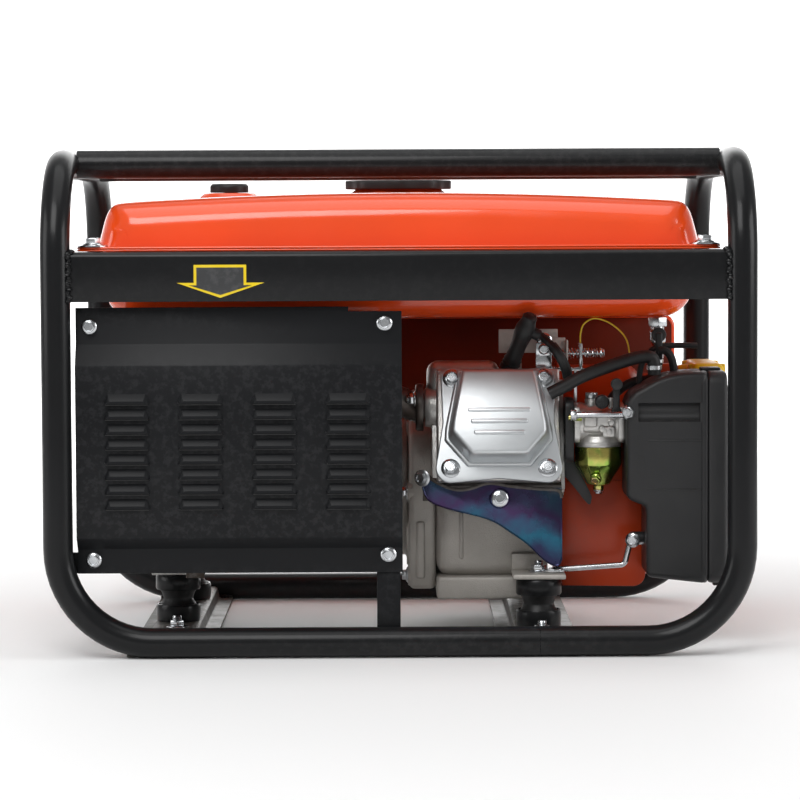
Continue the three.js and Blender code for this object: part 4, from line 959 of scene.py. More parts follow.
class GENERATOR_OT_tank_fittings(bpy.types.Operator):
    """Build the lobed fuel cap, its gasket, the fuel gauge and the fuel valve with its hose"""
    bl_idname = "generator.tank_fittings"
    bl_label = "Cap, gauge and valve"

    def execute(self, context):
        lobes = settings("generator_tank").cap_lobes
        low, top = lows("fuel_cap")[2], highs("fuel_cap")[2]

        def lobed(radius, dip):
            return [((radius - dip * (1 - math.cos(lobes * t)) / 2) * math.cos(t),
                     (radius - dip * (1 - math.cos(lobes * t)) / 2) * math.sin(t))
                    for t in (TAU * i / (lobes * 10) for i in range(lobes * 10))]
        skirt = extruded("skirt", "z", lobed(48, 3), low, low + 8, 1.2, 3)
        cap = extruded("cap", "z", lobed(46.5, 3), low + 7.2, top - 3.4, 1.6, 3)
        crown = turned("crown", "z", [(0, top - 5), (43, top - 5), (41, top - 1.4), (36, top),
                                      (33, top - 1.2),
                                      (0, top - 1.2)], (0, 0), 64, 0.4)
        bar = block("bar", -34, 34, -7, 7, top - 3, top, 1.4, 3)
        shape = joined("fuel_cap_piece", skirt, cap, crown, bar)
        carve(shape, rod("hollow", 39, (0, 0, low - 1), (0, 0, lows("cap_gasket")[2] + 3), 48))
        finished(shape, "plastic", "filler_cap", ["fuel_cap"])
        gasket = lows("cap_gasket")[2]
        finished(turned("gasket_ring", "z", [(28, gasket), (36, gasket), (36, gasket + 3),
                                             (28, gasket + 3)], (0, 0), 48,
                        0.8), "rubber", "cap_carrier", ["cap_gasket"])
        top = highs("fuel_gauge_bezel")[2]
        base = top - 8
        bezel = turned("bezel", "z", [(12.2, base), (17.5, base), (17.5, top - 2.4), (15.6, top), (13.2, top),
                                      (12.2, top - 1.6)], (-153, 0), 48, 0.4)
        lugs = [block("lug", -157, -149, s * 9.5 - 1, s * 9.5 + 1, lows("fuel_gauge_bezel")[2], base + 2, 0.4)
                for s in (-1, 1)]
        finished(joined("gauge_bezel", bezel, *lugs), "plastic", nodes=["fuel_gauge_bezel"])
        lens = turned("gauge_lens", "z", [(0, top - 2.6), (12, top - 2.6), (12, top - 2), (8, top - 1),
                                          (0, top - 0.6)],
                      (-153, 0), 40)
        finished(lens, "glass")
        refinish("red", "gauge_float")
        x, y, roof = 228, -84, highs("fuel_valve")[2]
        valve = [rod("nut", 9, (x, y, roof - 8), (x, y, roof), 6, rounding=0.8),
                 turned("neck", "z", [(0, roof - 25), (5, roof - 25), (7, roof - 21), (7, roof - 13),
                                      (5.6, roof - 11),
                                      (5.6, roof - 7), (0, roof - 7)], (x, y), 28, 0.4),
                 rod("side", 6, (x, y - 10, roof - 15), (x, y, roof - 15), 28, rounding=0.6),
                 turned("spout", "z", [(0, roof - 32), (2.6, roof - 32), (3.2, roof - 30), (2.7, roof - 28),
                                       (3.2, roof - 26), (3, roof - 22), (0, roof - 22)], (x, y), 20)]
        finished(joined("fuel_valve_piece", *valve), "zinc", nodes=["fuel_valve"])
        handle = [rod("hub", 6.5, (x, y - 14.3, roof - 15), (x, y - 10.3, roof - 15), 28, rounding=0.8),
                  block("tongue", x - 3, x + 3, y - 16.3, y - 12.3, roof - 37, roof - 13, 1.4, 3)]
        finished(joined("fuel_lever_piece", *handle), "plastic", "valve_lever", ["fuel_valve_lever"])
        route = [(228, -84, 251), (228, -84, 240), (222, -83, 229), (208, -80, 226), (195, -78, 219),
                 (186, -76, 208),
                 (181, -76, 197), (180, -79, 190.6), (180, -85.6, 190)]
        finished(tube("fuel_line", spline_points(route, 6), 4.2, 20), "rubber", nodes=["fuel_hose"])
        clips = [turned("clip", "z", [(4.1, z), (5.1, z), (5.1, z + 3), (4.1, z + 3)], (228, -84), 24)
                 for z in (243, 247)]
        finished(joined("fuel_line_clips", *clips), "zinc")
        return {"FINISHED"}


def shield_outline(offset):
    face, foot = -206 + offset, -196 + offset
    return [(foot, 71), (foot, 91), (foot - 1, 92.6), (face + 1, 101), (face, 103), (face, 247),
            (face + 1, 249.4),
            (foot - 1, 264.6), (foot, 266.4), (foot, 297)]


class GENERATOR_OT_shield(bpy.types.Operator):
    """Build the louvred muffler shield, its bolts, and the muffler behind it"""
    bl_idname = "generator.shield"
    bl_label = "Muffler shield"

    def execute(self, context):
        left, right = lows("muffler_shield")[0], highs("muffler_shield")[0]
        sheet = extruded("sheet", "x", shield_outline(0) + shield_outline(1.5)[::-1], left, right, 0.35)
        fold = block("fold", right - 1.6, right, -205, -172, 103, 247, 0.6)
        notch = block("notch", -43, right + 5, -200, -190, 293, 300)
        carve(sheet, notch)
        louvres = []
        for i in range(32):
            x, top = -230.5 + 62.3 * (i % 4), 225 - 12.7 * (i // 4)
            span, low = 19.5, 225 - 12.7 * (i // 4) - 9.8
            hood = outline_ring("hood", [(x - span + 3, -205.4, top), (x + span - 3, -205.4, top),
                                         (x + span, -205.4, low + 3), (x + span, -205.4, low),
                                         (x - span, -205.4, low), (x - span, -205.4, low + 3)], "NGON")
            edit(hood)
            bpy.ops.mesh.extrude_region_move(TRANSFORM_OT_translate={"value": (0, -4.7 * MM, 0)})
            bpy.ops.object.mode_set(mode="OBJECT")
            front = [v for v in hood.data.vertices if v.co.y < -0.209]
            for vertex in front:
                z = vertex.co.z / MM
                vertex.co.z = (low + (z - low) * 0.3 + 0.2) * MM
                vertex.co.x = (x + (vertex.co.x / MM - x) * 0.88) * MM
            louvres.append(soften(hood, 1.6, 3, 20))
        # Thin black bars under each louvre's front edge: painted shade standing for the dark opening beneath
        # the hood
        slots = [block("slot", -230.5 + 62.3 * (i % 4) - 18, -230.5 + 62.3 * (i % 4) + 18, -210.3, -205.9,
                       225 - 12.7 * (i // 4) - 10.2, 225 - 12.7 * (i // 4) - 9.6) for i in range(32)]
        finished(joined("shield_sheet", sheet, fold, *louvres), "shield", nodes=["muffler_shield"], angle=38)
        finished(joined("louvre_mouth_painted_shade", *slots), "rubber")
        places = [((x, -196.1, z), (0, -1, 0)) for x, z in ((-262.5, 281), (-12.5, 283), (-260.5, 82.5),
                                                            (-10, 86))]
        placed_bolts("shield_bolts", places, size=5.4, height=5.2, flange=6.8)
        shell = extruded("shell", "x", rounded(-184, -92, 82, 274, 30, 8), -262, -10, 2.2, 3)
        seams = [extruded("seam", "x", rounded(-187.5, -88.5, 78.5, 277.5, 33, 8), x, x + 4, 1.2, 2)
                 for x in (-162, -258, -18)]
        lug = block("lug", -186, -170, -140, -136, 60, 87, 0.8)
        stub = rod("stub", 13.5, (-232, -92, 108), (-232, -80.2, 108), 32, rounding=0.8)
        bore = rod("bore", 11, (-232, -100, 108), (-232, -70, 108), 32)
        muffler = joined("muffler_piece", shell, *seams, lug, stub)
        finished(carve(muffler, bore), "steel", nodes=["muffler"])
        return {"FINISHED"}


def frustum(name, base, top, low, high):
    """A pressed form on Z: one outline at its foot and another, with as many points, at its top."""
    piece = outline_ring(name, [(u, v, low) for u, v in base], "NGON")
    edit(piece)
    bpy.ops.mesh.extrude_region_move(TRANSFORM_OT_translate={"value": (0, 0, (high - low) * MM)})
    bpy.ops.object.mode_set(mode="OBJECT")
    for vertex, (u, v) in zip([v for v in piece.data.vertices if v.select], top):
        vertex.co = Vector((u, v, high)) * MM
    edit(piece)
    close_edit()
    return piece


def swollen(points, by):
    """An outline pushed out from its middle."""
    middle = Vector((sum(u for u, v in points), sum(v for u, v in points))) / len(points)
    return [tuple(middle + (Vector(p) - middle) * (1 + by / (Vector(p) - middle).length)) for p in points]


class GENERATOR_OT_valve_cover(bpy.types.Operator):
    """Build the pressed valve cover with its ears, stepped dome, ribs and bolts"""
    bl_idname = "generator.valve_cover"
    bl_label = "Valve cover"

    def execute(self, context):
        base, up = HEAD_TOP, 4
        waist = []
        for sx, sv, start in ((1, -1, -100), (1, 1, -10), (-1, 1, 80), (-1, -1, 170)):
            waist += arc(sx * (41 - sv), sv * 40.7 + up, 11.5 - 1.5 * sv, start, start + 110, 7)
        pinch = [(waist[i][0] + waist[(i + 1) % 32][0], waist[i][1] + waist[(i + 1) % 32][1])
                 for i in (7, 15, 23, 31)]
        edge = []
        for k, (u, v) in enumerate(pinch):
            edge += waist[8 * k:8 * k + 8] + [(u / 2 * 0.93, up + (v / 2 - up) * 0.93)]
        plate = extruded("plate", "z", edge, base, base + 3.4, 1.2, 3)
        dome = [(u, v + up + 2) for u, v in ((-43, -17), (-25, -38), (25, -38), (43, -17), (42, -7),
                                             (33, 43), (-33, 43),
                                            (-42, -7))]
        step = frustum("step", swollen(dome, 5), swollen(dome, 3.6), base + 3, base + 6.5)
        soften(step, 1.4, 3, 20)
        top = [(u * 0.95, v * 0.95) for u, v in dome]
        body = frustum("dome", swollen(dome, 2.0), top, base + 6, base + 28)
        edit(body)
        bpy.ops.mesh.bisect(plane_co=(0, 0.010, 0), plane_no=(0, 1, 0))
        bpy.ops.object.mode_set(mode="OBJECT")
        for vertex in body.data.vertices:
            if vertex.co.z > (base + 27) * MM and vertex.co.y > 0.011:
                vertex.co.z -= 0.0032
            if vertex.co.z > (base + 27) * MM and abs(vertex.co.y - 0.010) < 0.001:
                vertex.co.z += 0.0008
        soften(body, 3.4, 4, 8)
        count = settings("generator_engine").cover_ribs
        ribs = [block("rib", -27 + 2.5 * i, 27 - 2.5 * i, 6.5 - 10 * i, 10.5 - 10 * i, base + 26.5,
                      base + 29.4, 1.3, 3)
                for i in range(count)]
        cover = joined("valve_cover_piece", plate, step, body, *ribs)
        finished(tilted(cover), "cover", nodes=["valve_cover"], angle=36)
        normal = on_bore(0, 0, 1) - on_bore(0, 0, 0)
        places = [(on_bore(sx * (41 - sv), sv * 40.7 + up, base + 3.2), normal) for sx in (-1, 1)
                  for sv in (-1, 1)]
        placed_bolts("cover_bolts", places, size=5.6, height=6, flange=8.4)
        gasket = extruded("gasket", "z", swollen(edge, -1), base - 1.2, base + 0.4)
        finished(tilted(gasket), "rubber")
        return {"FINISHED"}


class GENERATOR_OT_engine(bpy.types.Operator):
    """Build the crankcase, its side cover, and the finned cylinder and head"""
    bl_idname = "generator.engine"
    bl_label = "Engine castings"

    def execute(self, context):
        outline = [(-88, 54), (108, 54), (108, 185), (70, 222), (-15, 222), (-60, 190), (-88, 120)]
        body = extruded("body", "x", outline, 32, 130, 13, 5, 20)
        plinth = block("plinth", 32, 130, -94, 112, 35, 55.5, 3.5, 3)
        feet = []
        for y0, y1, web0, web1 in ((-138, -84, -96, -84), (104, 154, 104, 112)):
            feet += [block("foot", 98, 144, y0, y1, 57, 61.7, 1.6), block("web", 98, 130, web0, web1, 57,
                                                                          75.7, 2)]
        boss = turned("boss", "z", [(0, 206), (8, 206), (8, 219), (6.4, 222), (0, 222)], (124, -26), 28, 0.6)
        fins = [block("fin", -54, 54, -50, 50, w, w + 3, 1.1) for w in (78, 86, 94)]
        barrel = [rod("core", 47, (0, 0, 50), (0, 0, 108), 40), block("deck", -50, 50, -46, 46, 102, 108, 2)]
        leaning = tilted(joined("barrel", *barrel, *fins))
        bead = block("bead", 52, 56, -89.4, -84, 70, 112, 1.8, 3)
        hollow = rod("hole", 11, (60, 80, 78), (60, 130, 78), 32)
        shaft = rod("shaft_hole", 16.5, (20, *CRANK), (150, *CRANK), 36)
        carve(body, hollow, shaft)
        case = joined("crankcase_piece", body, plinth, boss, bead, leaning, *feet)
        finished(case, "sand", nodes=["crankcase"], angle=38)
        flange = extruded("flange", "x", [(-76, 42), (96, 42), (100, 60), (100, 176), (66, 212), (-20, 212),
                                          (-62, 180),
                                          (-80, 120), (-80, 60)], 8, 31.7, 5, 4, 20)
        ribs = [block("rib", 14.5, 22, -83.5, -76, 52, 103, 2.4, 3)]
        ribs += [block("rib", 5.8, 12, y, y + 4, 60, 190, 1.6) for y in (-44, 52)]
        ring = turned("ring", "x", [(17, 5), (34, 5), (38, 9), (38, 14), (17, 14)], CRANK, 40, 1)
        pads = [turned("pad", "x", [(0, 7), (9.5, 7), (10.5, 12), (0, 12)], (y, z), 24, 0.6)
                for y, z in ((-68, 128), (-66, 54), (90, 60), (90, 170), (20, 202))]
        carve(flange, rod("eye", 17.5, (0, *CRANK), (60, *CRANK), 36))
        finished(joined("side_cover", flange, ring, *ribs, *pads), "sand", nodes=["crankcase_cover"])
        placed_bolts("side_cover_bolts", [((7, y, z), (-1, 0, 0)) for y, z in
                                          ((-68, 128), (-66, 54), (90, 60), (90, 170), (20, 202))], size=5,
                     flange=7)
        head = [block("core", -50, 50, -44, 44, 108.3, 149, 3), block("top", -54, 54, -47, 55, 140, 149.7,
                                                                      2.4, 3)]
        head += [block("fin", -58, 58, -50, 50, w, w + 3, 1.1) for w in (108.3, 119, 129)]
        port = turned("port", "x", [(0, -64), (17, -64), (18, -58), (20, -40), (0, -40)], (26, 128), 36, 1.2)
        hump = block("hump", -62, 2, 36, 66, 112, 146, 10, 5)
        finished(tilted(joined("head_piece", *head, port, hump)), "cast", nodes=["cylinder_head"], angle=36)
        return {"FINISHED"}


class GENERATOR_OT_shroud(bpy.types.Operator):
    """Build the heat-tinted sheet under the cylinder and its bolt"""
    bl_idname = "generator.shroud"
    bl_label = "Cylinder shroud"

    def execute(self, context):
        face = lows("cylinder_shroud")[1]
        lower = spline_points([(18, 150), (20, 137), (26, 126), (43, 119), (77, 110), (97, 98), (111, 88),
                               (124.5, 75),
                               (133, 69.5), (138, 70), (140.5, 76)], 4)
        upper = [(140.5, 128), (137, 134.5), (118, 136), (94, 138.5), (77, 141), (60, 136), (46, 136),
                 (30, 143), (22, 150)]
        sheet = extruded("sheet", "y", lower + upper, face, face + 1.2, 0.35)
        lip = tube("lip", [(p[0], face + 0.6, p[1]) for p in lower], 1.0, 10)
        turn = block("turn", 139.3, 141, face, face + 16, 76, 128, 0.6)
        bend = extruded("bend", "x", [(face + 0.2, 126), (face + 1.6, 126), (face + 3, 137), (face + 14, 144),
                                      (face + 13, 146), (face + 1.4, 139)], 20, 140.5, 0.4)
        fold = tube("fold", [(u, face + 1, v) for u, v in spline_points(upper, 4)], 1.7, 12)
        back = tilted(block("back", -66, 55, -52, -50.3, 100, 139, 0.6))
        finished(joined("shroud_sheet", sheet, lip, turn, back), "heat", nodes=["cylinder_shroud"])
        finished(joined("shroud_fold", fold, bend), "steel")
        placed_bolts("shroud_bolts", [((86.5, face - 4, 125 + 3), (0, -1, 0.1)),
                                      ((19.6, face - 1, 146), (-0.5, -1, 0))],
                     size=5, flange=7.4)
        pad = turned("pad", "y", [(0, face - 4.2), (8, face - 4.2), (9.5, face + 1), (0, face + 1)],
                     (86.5, 128), 28, 0.5)
        finished(pad, "heat").name = "shroud_pad"
        return {"FINISHED"}


class GENERATOR_OT_ignition(bpy.types.Operator):
    """Build the spark plug, its boot and the ignition lead"""
    bl_idname = "generator.ignition"
    bl_label = "Ignition"

    def execute(self, context):
        base, way = on_bore(14, 51, 132), Vector((0.08, -0.42, 0.9)).normalized()
        turn = Matrix.Translation(base * MM) @ facing(way).to_matrix().to_4x4()
        rings = [(0, 10), (8.6, 10), (8.8, 13), (7.8, 14.2), (8.6, 16), (7.6, 18), (8.2, 20), (7.2, 22),
                 (7, 36), (7.6, 40), (8.6, 46), (8.8, 52), (7.6, 56), (6.4, 60), (6.6, 63), (4.4, 65.4),
                 (0, 65.8)]
        boot = turned("boot", "z", rings, (0, 0), 36)
        tail = tube("tail", [(0, 0, 50), (4, 0, 50.5), (13.5, 0, 49)], 5.2, 20)
        piece = joined("boot_piece", boot, tail)
        lean = Vector((0.34, -0.36, 0.87)).normalized()
        piece.data.transform(Matrix.Translation((base - Vector((7, 0, 0)))
                                                * MM) @ facing(lean).to_matrix().to_4x4())
        finished(piece, "rubber", nodes=["spark_plug_boot"], angle=45)
        nut = [rod("hex", 8.5, (0, 0, 0.5), (0, 0, 8), 6, rounding=0.7), rod("body", 6.4, (0, 0, -12),
                                                                             (0, 0, 1), 24),
               turned("stem", "z", [(0, 7.8), (5.4, 7.8), (4.8, 10), (4.4, 14), (0, 14)], (0, 0), 24)]
        plug = joined("plug_piece", *nut)
        plug.data.transform(turn)
        finished(plug, "zinc", nodes=["spark_plug"])
        top = base - Vector((7, 0, 0)) + lean * 50
        route = [(top.x + 9, top.y, top.z - 3), (top.x + 16, top.y - 1, top.z - 7), (137, -122, 255),
                 (145, -119, 240),
                 (148.5, -109, 225), (149, -96, 221.5), (149, -70, 221.6), (149, -54, 222)]
        finished(tube("lead_piece", spline_points(route, 6), 3.4, 16), "rubber", nodes=["ignition_lead"])
        sleeve = spline_points(route, 6)[10:22]
        finished(tube("lead_sleeve", sleeve, 4.6, 16), "rubber")
        return {"FINISHED"}


class GENERATOR_OT_exhaust(bpy.types.Operator):
    """Build the exhaust elbow with its slanting flange and nuts"""
    bl_idname = "generator.exhaust"
    bl_label = "Exhaust elbow"

    def execute(self, context):
        port = on_bore(-64, 26, 128)
        out = (-9.7, port.y - 6, port.z + 8)
        route = bent_line([(port.x - 0.3, port.y, port.z), (port.x - 13, port.y, port.z),
                           (1, out[1], out[2]), out], 13, 8)
        pipe = tube("pipe", route, 12, 28)
        flange = turned("flange", "x", [(0, port.x - 8), (20, port.x - 8), (21, port.x - 6), (21, port.x - 1),
                                        (0, port.x - 0.4)], (port.y, port.z), 40, 0.8)
        finished(joined("elbow_piece", pipe, flange), "steel", nodes=["exhaust_elbow"])
        placed_bolts("elbow_nuts", [((port.x - 8, port.y - 15, port.z + 8), (-1, 0, 0)),
                                    ((port.x - 8, port.y + 15, port.z - 8), (-1, 0, 0))], size=5.8,
                     flange=7, shank=3)
        return {"FINISHED"}


class GENERATOR_OT_carburettor(bpy.types.Operator):
    """Build the insulator, carburettor casting, float bowl, levers and linkage"""
    bl_idname = "generator.carburettor"
    bl_label = "Carburettor"

    def execute(self, context):
        y, z = -110, 192
        plate = extruded("plate", "x", rounded(-128, -92, 158, 214, 8, 5), 144.3, 151.7, 0.8)
        finished(carve(plate, rod("t", 11, (140, y, z), (160, y, z), 32)), "plastic",
                 nodes=["carb_insulator"])
        web = extruded("web", "y", spline_points([(140, 171), (146, 171), (166, 132), (168, 124), (165, 120),
                                                  (152, 136), (140, 150)], 3), -108, -106.5, 0.3)
        finished(web, "plastic").name = "carb_heat_web"
        parts = [turned("barrel", "x", [(11, 152), (17, 152), (18, 158), (16, 166), (16, 184), (18, 190),
                                        (18, 195.6),
                                        (11, 195.6)], (y, z), 40, 0.7)]
        parts += [extruded("flange", "x", rounded(-131, -93, 175, 209, 7, 5), a, b, 0.9) for a, b in
                  ((152, 157), (190, 195.6))]
        parts += [turned("crown", "z", [(0, 171.4), (20, 171.4), (20, 176), (18.4, 178.5), (17.6, 181),
                                        (0, 184)],
                         (174, y), 40, 0.7),
                  turned("rim", "z", [(0, 171.3), (20.4, 171.3), (20.4, 174), (0, 174)], (174, y), 48, 0.5),
                  turned("tower", "z", [(0, 200), (7, 200), (6, 206), (6, 213), (0, 213)], (168, y), 28, 0.5),
                  block("shoulder", 158, 190, -128, -112, 184, 203, 4, 4),
                  block("pad", 160, 172, -131, -120, 189, 200, 2, 3),
                  block("pad", 176, 188, -130.5, -121, 180, 190, 2, 3)]
        parts += [turned("post", "y", [(0, -131), (2.6, -131), (3.2, -129), (3.4, -118), (0, -118)], (x, h),
                         20, 0.4)
                  for x, h in ((182, 185), (184, 193), (176, 187.5))]
        parts += [rod("stud", 2.2, (x, -118, h), (x, -118, h + 14), 16, rounding=0.4) for x,
                  h in ((184, 200), (190, 199))]
        parts += [rod("inlet", 3, (180, -100, 190), (180, -86, 190), 20, rounding=0.4)]
        finished(joined("carb_casting", *parts), "cast", nodes=["carburetor_body"], angle=36)
        bowl = [(0, 132), (3.6, 132), (5, 133.4), (5, 137), (10, 138), (17.4, 150.4), (20.5, 155.8),
                (20.5, 171),
                (18, 171), (18, 158), (0, 145)]
        finished(turned("float_bowl", "z", bowl, (174, y), 12, 0.9, 3, 14), "plate",
                 nodes=["carburetor_bowl"], angle=24)
        placed_bolts("bowl_drain", [((171, -124.4, 144), (-0.25, -1, -0.5))], finish="plate", size=4.2,
                     height=5, flange=5)
        placed_bolts("bowl_screw", [((174, y, 133), (0, 0, -1))], finish="zinc", size=3.6, height=3.5,
                     flange=4.6)
        jet = [rod("jet", 3.6, (150.5, -134, 198), (158, -134, 198), 6, rounding=0.4),
               rod("tip", 2.6, (146.5, -134, 198), (152, -134, 198), 18, rounding=0.4)]
        finished(joined("carb_jet", *jet), "plate")
        bar = [rod("bar", 2.8, (152, -140.8, 200.5), (196, -140.8, 200.5), 20, rounding=0.5),
               rod("head", 5.4, (148, -140.8, 200.5), (153, -140.8, 200.5), 6, rounding=0.6),
               rod("lug", 3, (154, -141, 200.5), (154, -128, 198), 16), rod("lug", 3, (194, -141, 200.5),
                                                                            (192, -128, 198), 16)]
        finished(joined("carb_stud", *bar), "zinc")
        cap = turned("cap", "y", [(0, -132.8), (2.6, -132.8), (5.6, -132), (6.2, -129.6), (6.2, -122),
                                  (0, -122)], (176, 211), 32, 0.5)
        carve(cap, block("c", 171.8, 180.2, -136, -132, 210.2, 211.8), block("c", 175.2, 176.8, -136, -132,
                                                                             206.8, 215.2))
        finished(cap, "plastic").name = "carb_cap_screw"
        cx, cz, cy = 188, 203, -131.3
        lever = [rod("hub", 4.5, (cx, cy - 5, cz), (cx, cy, cz), 24, rounding=0.6),
                 block("arm", cx - 3, cx + 3, cy - 5, cy - 2, cz, cz + 22, 0.9),
                 rod("knob", 5, (cx, cy - 12, cz + 24), (cx, cy - 2, cz + 24), 28, rounding=1)]
        finished(joined("choke_piece", *lever), "plastic", "choke", ["choke_lever"])
        throttle = [rod("hub", 5.5, (168, y, 213.3), (168, y, 218.3), 28, rounding=0.6),
                    block("arm", 164, 172, y, y + 20, 214.3, 216.8, 0.6)]
        finished(joined("throttle_piece", *throttle), "zinc", "throttle", ["throttle_lever"])
        governor = [rod("hub", 4.5, (124, -26, 222.3), (124, -26, 235.3), 24, rounding=0.6),
                    block("arm", 120, 128, -76, -26, 231.8, 234.3, 0.7)]
        finished(joined("governor_piece", *governor), "zinc", "governor", ["governor_arm"])
        bracket = [block("plate", 120, 162, -104, -82, 237, 239.5, 0.7), block("end", 158, 160.5, -104, -84,
                                                                               237, 261, 0.7),
                   block("stand", 120, 134, -98, -92, 237, 253, 0.8), block("leg", 153, 155.8, -104, -101,
                                                                            209.3, 238, 0.5),
                   block("ear", 120, 134, -99.5, -97.5, 250, 262, 0.7), rod("screw", 1.9, (134, -95, 252),
                                                                            (176, -95, 252), 16)]
        coil = [(134 + 26 * i / 120, -95 + 4.2 * math.cos(TAU * 9 * i / 120),
                 252 + 4.2 * math.sin(TAU * 9 * i / 120))
                for i in range(121)]
        throttle_coil = [(162 + 13 * i / 80, -95 + 4 * math.cos(TAU * 6 * i / 80),
                          252 + 4 * math.sin(TAU * 6 * i / 80))
                 for i in range(81)]
        finished(joined("control_plate", *bracket), "zinc", nodes=["control_bracket"])
        finished(joined("control_springs", tube("s", coil, 0.65, 8), tube("s", throttle_coil, 0.65, 8)),
                 "zinc")
        placed_bolts("control_screws", [((127, -99.6, 256), (0, -1, 0)), ((176, -95, 252), (1, 0, 0))],
                     size=4.2, height=4, flange=5)
        plates = [block("plate", 88, 140, -82, -80.4, 252, 273, 0.6), block("plate", 102, 108, -84, -80,
                                                                            232, 258, 0.6),
                  block("fold", 134, 146, -96, -94.6, 252, 266, 0.6), block("fold", 146, 148, -104, -92,
                                                                            246, 264, 0.6)]
        finished(joined("control_plates", *plates), "sand")
        placed_bolts("plate_bolt", [((128, -82.4, 263), (0, -1, 0))], size=5, flange=7)
        loop = spline_points([(160, -84, 257), (160, -83, 268), (163, -82, 277), (172, -82, 282),
                              (184, -82, 279),
                              (195, -83, 271), (201, -85, 262), (203, -87, 251)], 6)
        finished(tube("yellow_wire", loop, 0.75, 8), "sticker")
        return {"FINISHED"}


class GENERATOR_OT_air_cleaner(bpy.types.Operator):
    """Build the moulded air cleaner case, its cover, stay bar, and the breather hose"""
    bl_idname = "generator.air_cleaner"
    bl_label = "Air cleaner"

    def execute(self, context):
        side = [(213, 60), (266, 54), (266, 238)] + spline_points([(252, 237.6), (243, 237), (232, 235),
                                                                   (222, 231.5),
                                                                   (212, 226), (203, 221)], 3) + [
            (196, 213), (196, 128), (213, 121)]
        case = extruded("case", "y", side, -150, -88, 5, 4, 25)
        carve(case, rod("groove", 8.5, (206, -152, 203), (262, -152, 203), 32),
              rod("eye", 13, (190, -110, 192), (204, -110, 192), 32), block("hollow", 217, 272, -140, -93,
                                                                            62, 223, 5))
        rim = extruded("rim", "x", rounded(-150, -88, 54, 238, 11, 6), 259, 266, 1.6, 3)
        carve(rim, block("mouth", 250, 272, -144, -93, 60, 231, 5))
        seam = [block("seam", 214, 260, -150.6, -149, z, z + 1.2, 0.4) for z in (178, 136)]
        stub = rod("stub", 5, (201, -120, 92), (214, -120, 92), 24, rounding=0.8)
        finished(joined("air_case", case, rim, stub, *seam), "plastic", nodes=["air_cleaner_case"], angle=40)
        lid = extruded("lid", "x", rounded(-150, -88, 54, 238, 11, 6), 266.3, 283, 3.2, 4)
        panel = extruded("panel", "x", rounded(-142, -96, 64, 228, 9, 5), 281.5, 284.2, 1.4, 3)
        carve(lid, extruded("hollow", "x", rounded(-147, -91, 57, 235, 8, 5), 260, 280))
        clip = [block("clip", 262, 279, -128, -112, 237, 240.6, 1.1), block("foot", 273, 281, -124, -116,
                                                                            49.5, 55, 1.2)]
        finished(joined("air_cover", lid, panel, *clip), "plastic", "air_lid", ["air_cleaner_cover"],
                 angle=40)
        placed_bolts("air_case_nut", [((199, -146, 203), (-0.4, -1, 0))], size=5.2, height=6.4, flange=7,
                     shank=2)
        route = [(134, -120, 63.9), (196, -120, 68), (201, -120, 88), (212.7, -120, 88)]
        bar = tube("bar", bent_line(route, 5, 6), 2.6, 20)
        eye = turned("eye", "z", [(4.4, 62.2), (10, 62.2), (10, 65), (4.4, 65)], (134, -120), 28, 0.5)
        finished(joined("stay_bar", bar, eye), "zinc", nodes=["air_cleaner_stay"])
        placed_bolts("stay_bolt", [((203, -124, 90), (-0.3, -1, 0))], size=4.8, height=5, flange=6.6)
        thick = settings("generator_engine").hose / MM / 2
        nipple = on_bore(43, 26, HEAD_TOP + 17)
        hose = [(nipple.x + 1, nipple.y, nipple.z), (143, -132.6, 225), (160, -131, 234), (190, -127, 244.5),
                (209, -122.5, 249.5), (219, -120.6, 249), (222, -120, 243), (222, -120, 234)]
        finished(tube("breather_piece", spline_points(hose, 8), thick, 24), "rubber",
                 nodes=["breather_hose"], angle=60)
        clip = [turned("clip", "z", [(thick, 238.5), (thick + 1, 238.5), (thick + 1, 242), (thick, 242)],
                       (222, -120), 28)]
        finished(joined("breather_clip", *clip), "zinc")
        vents = [[(210.5, -96, 225), (212, -96, 238), (216, -97, 248), (226, -97, 257), (242, -96, 258.5),
                  (262, -94, 258)],
                 [(227, -101, 254), (234, -101, 254), (239, -101, 247), (241, -101, 236)]]
        loops = [tube("loop", spline_points(points, 6), r, 16) for points, r in zip(vents, (2.6, 3.6))]
        finished(joined("vent_hoses", *loops), "rubber")
        element = block("filter_element", 222, 262, -137, -96, 72, 214, 3)
        finished(element, "foam", nodes=["air_filter_element"])
        return {"FINISHED"}


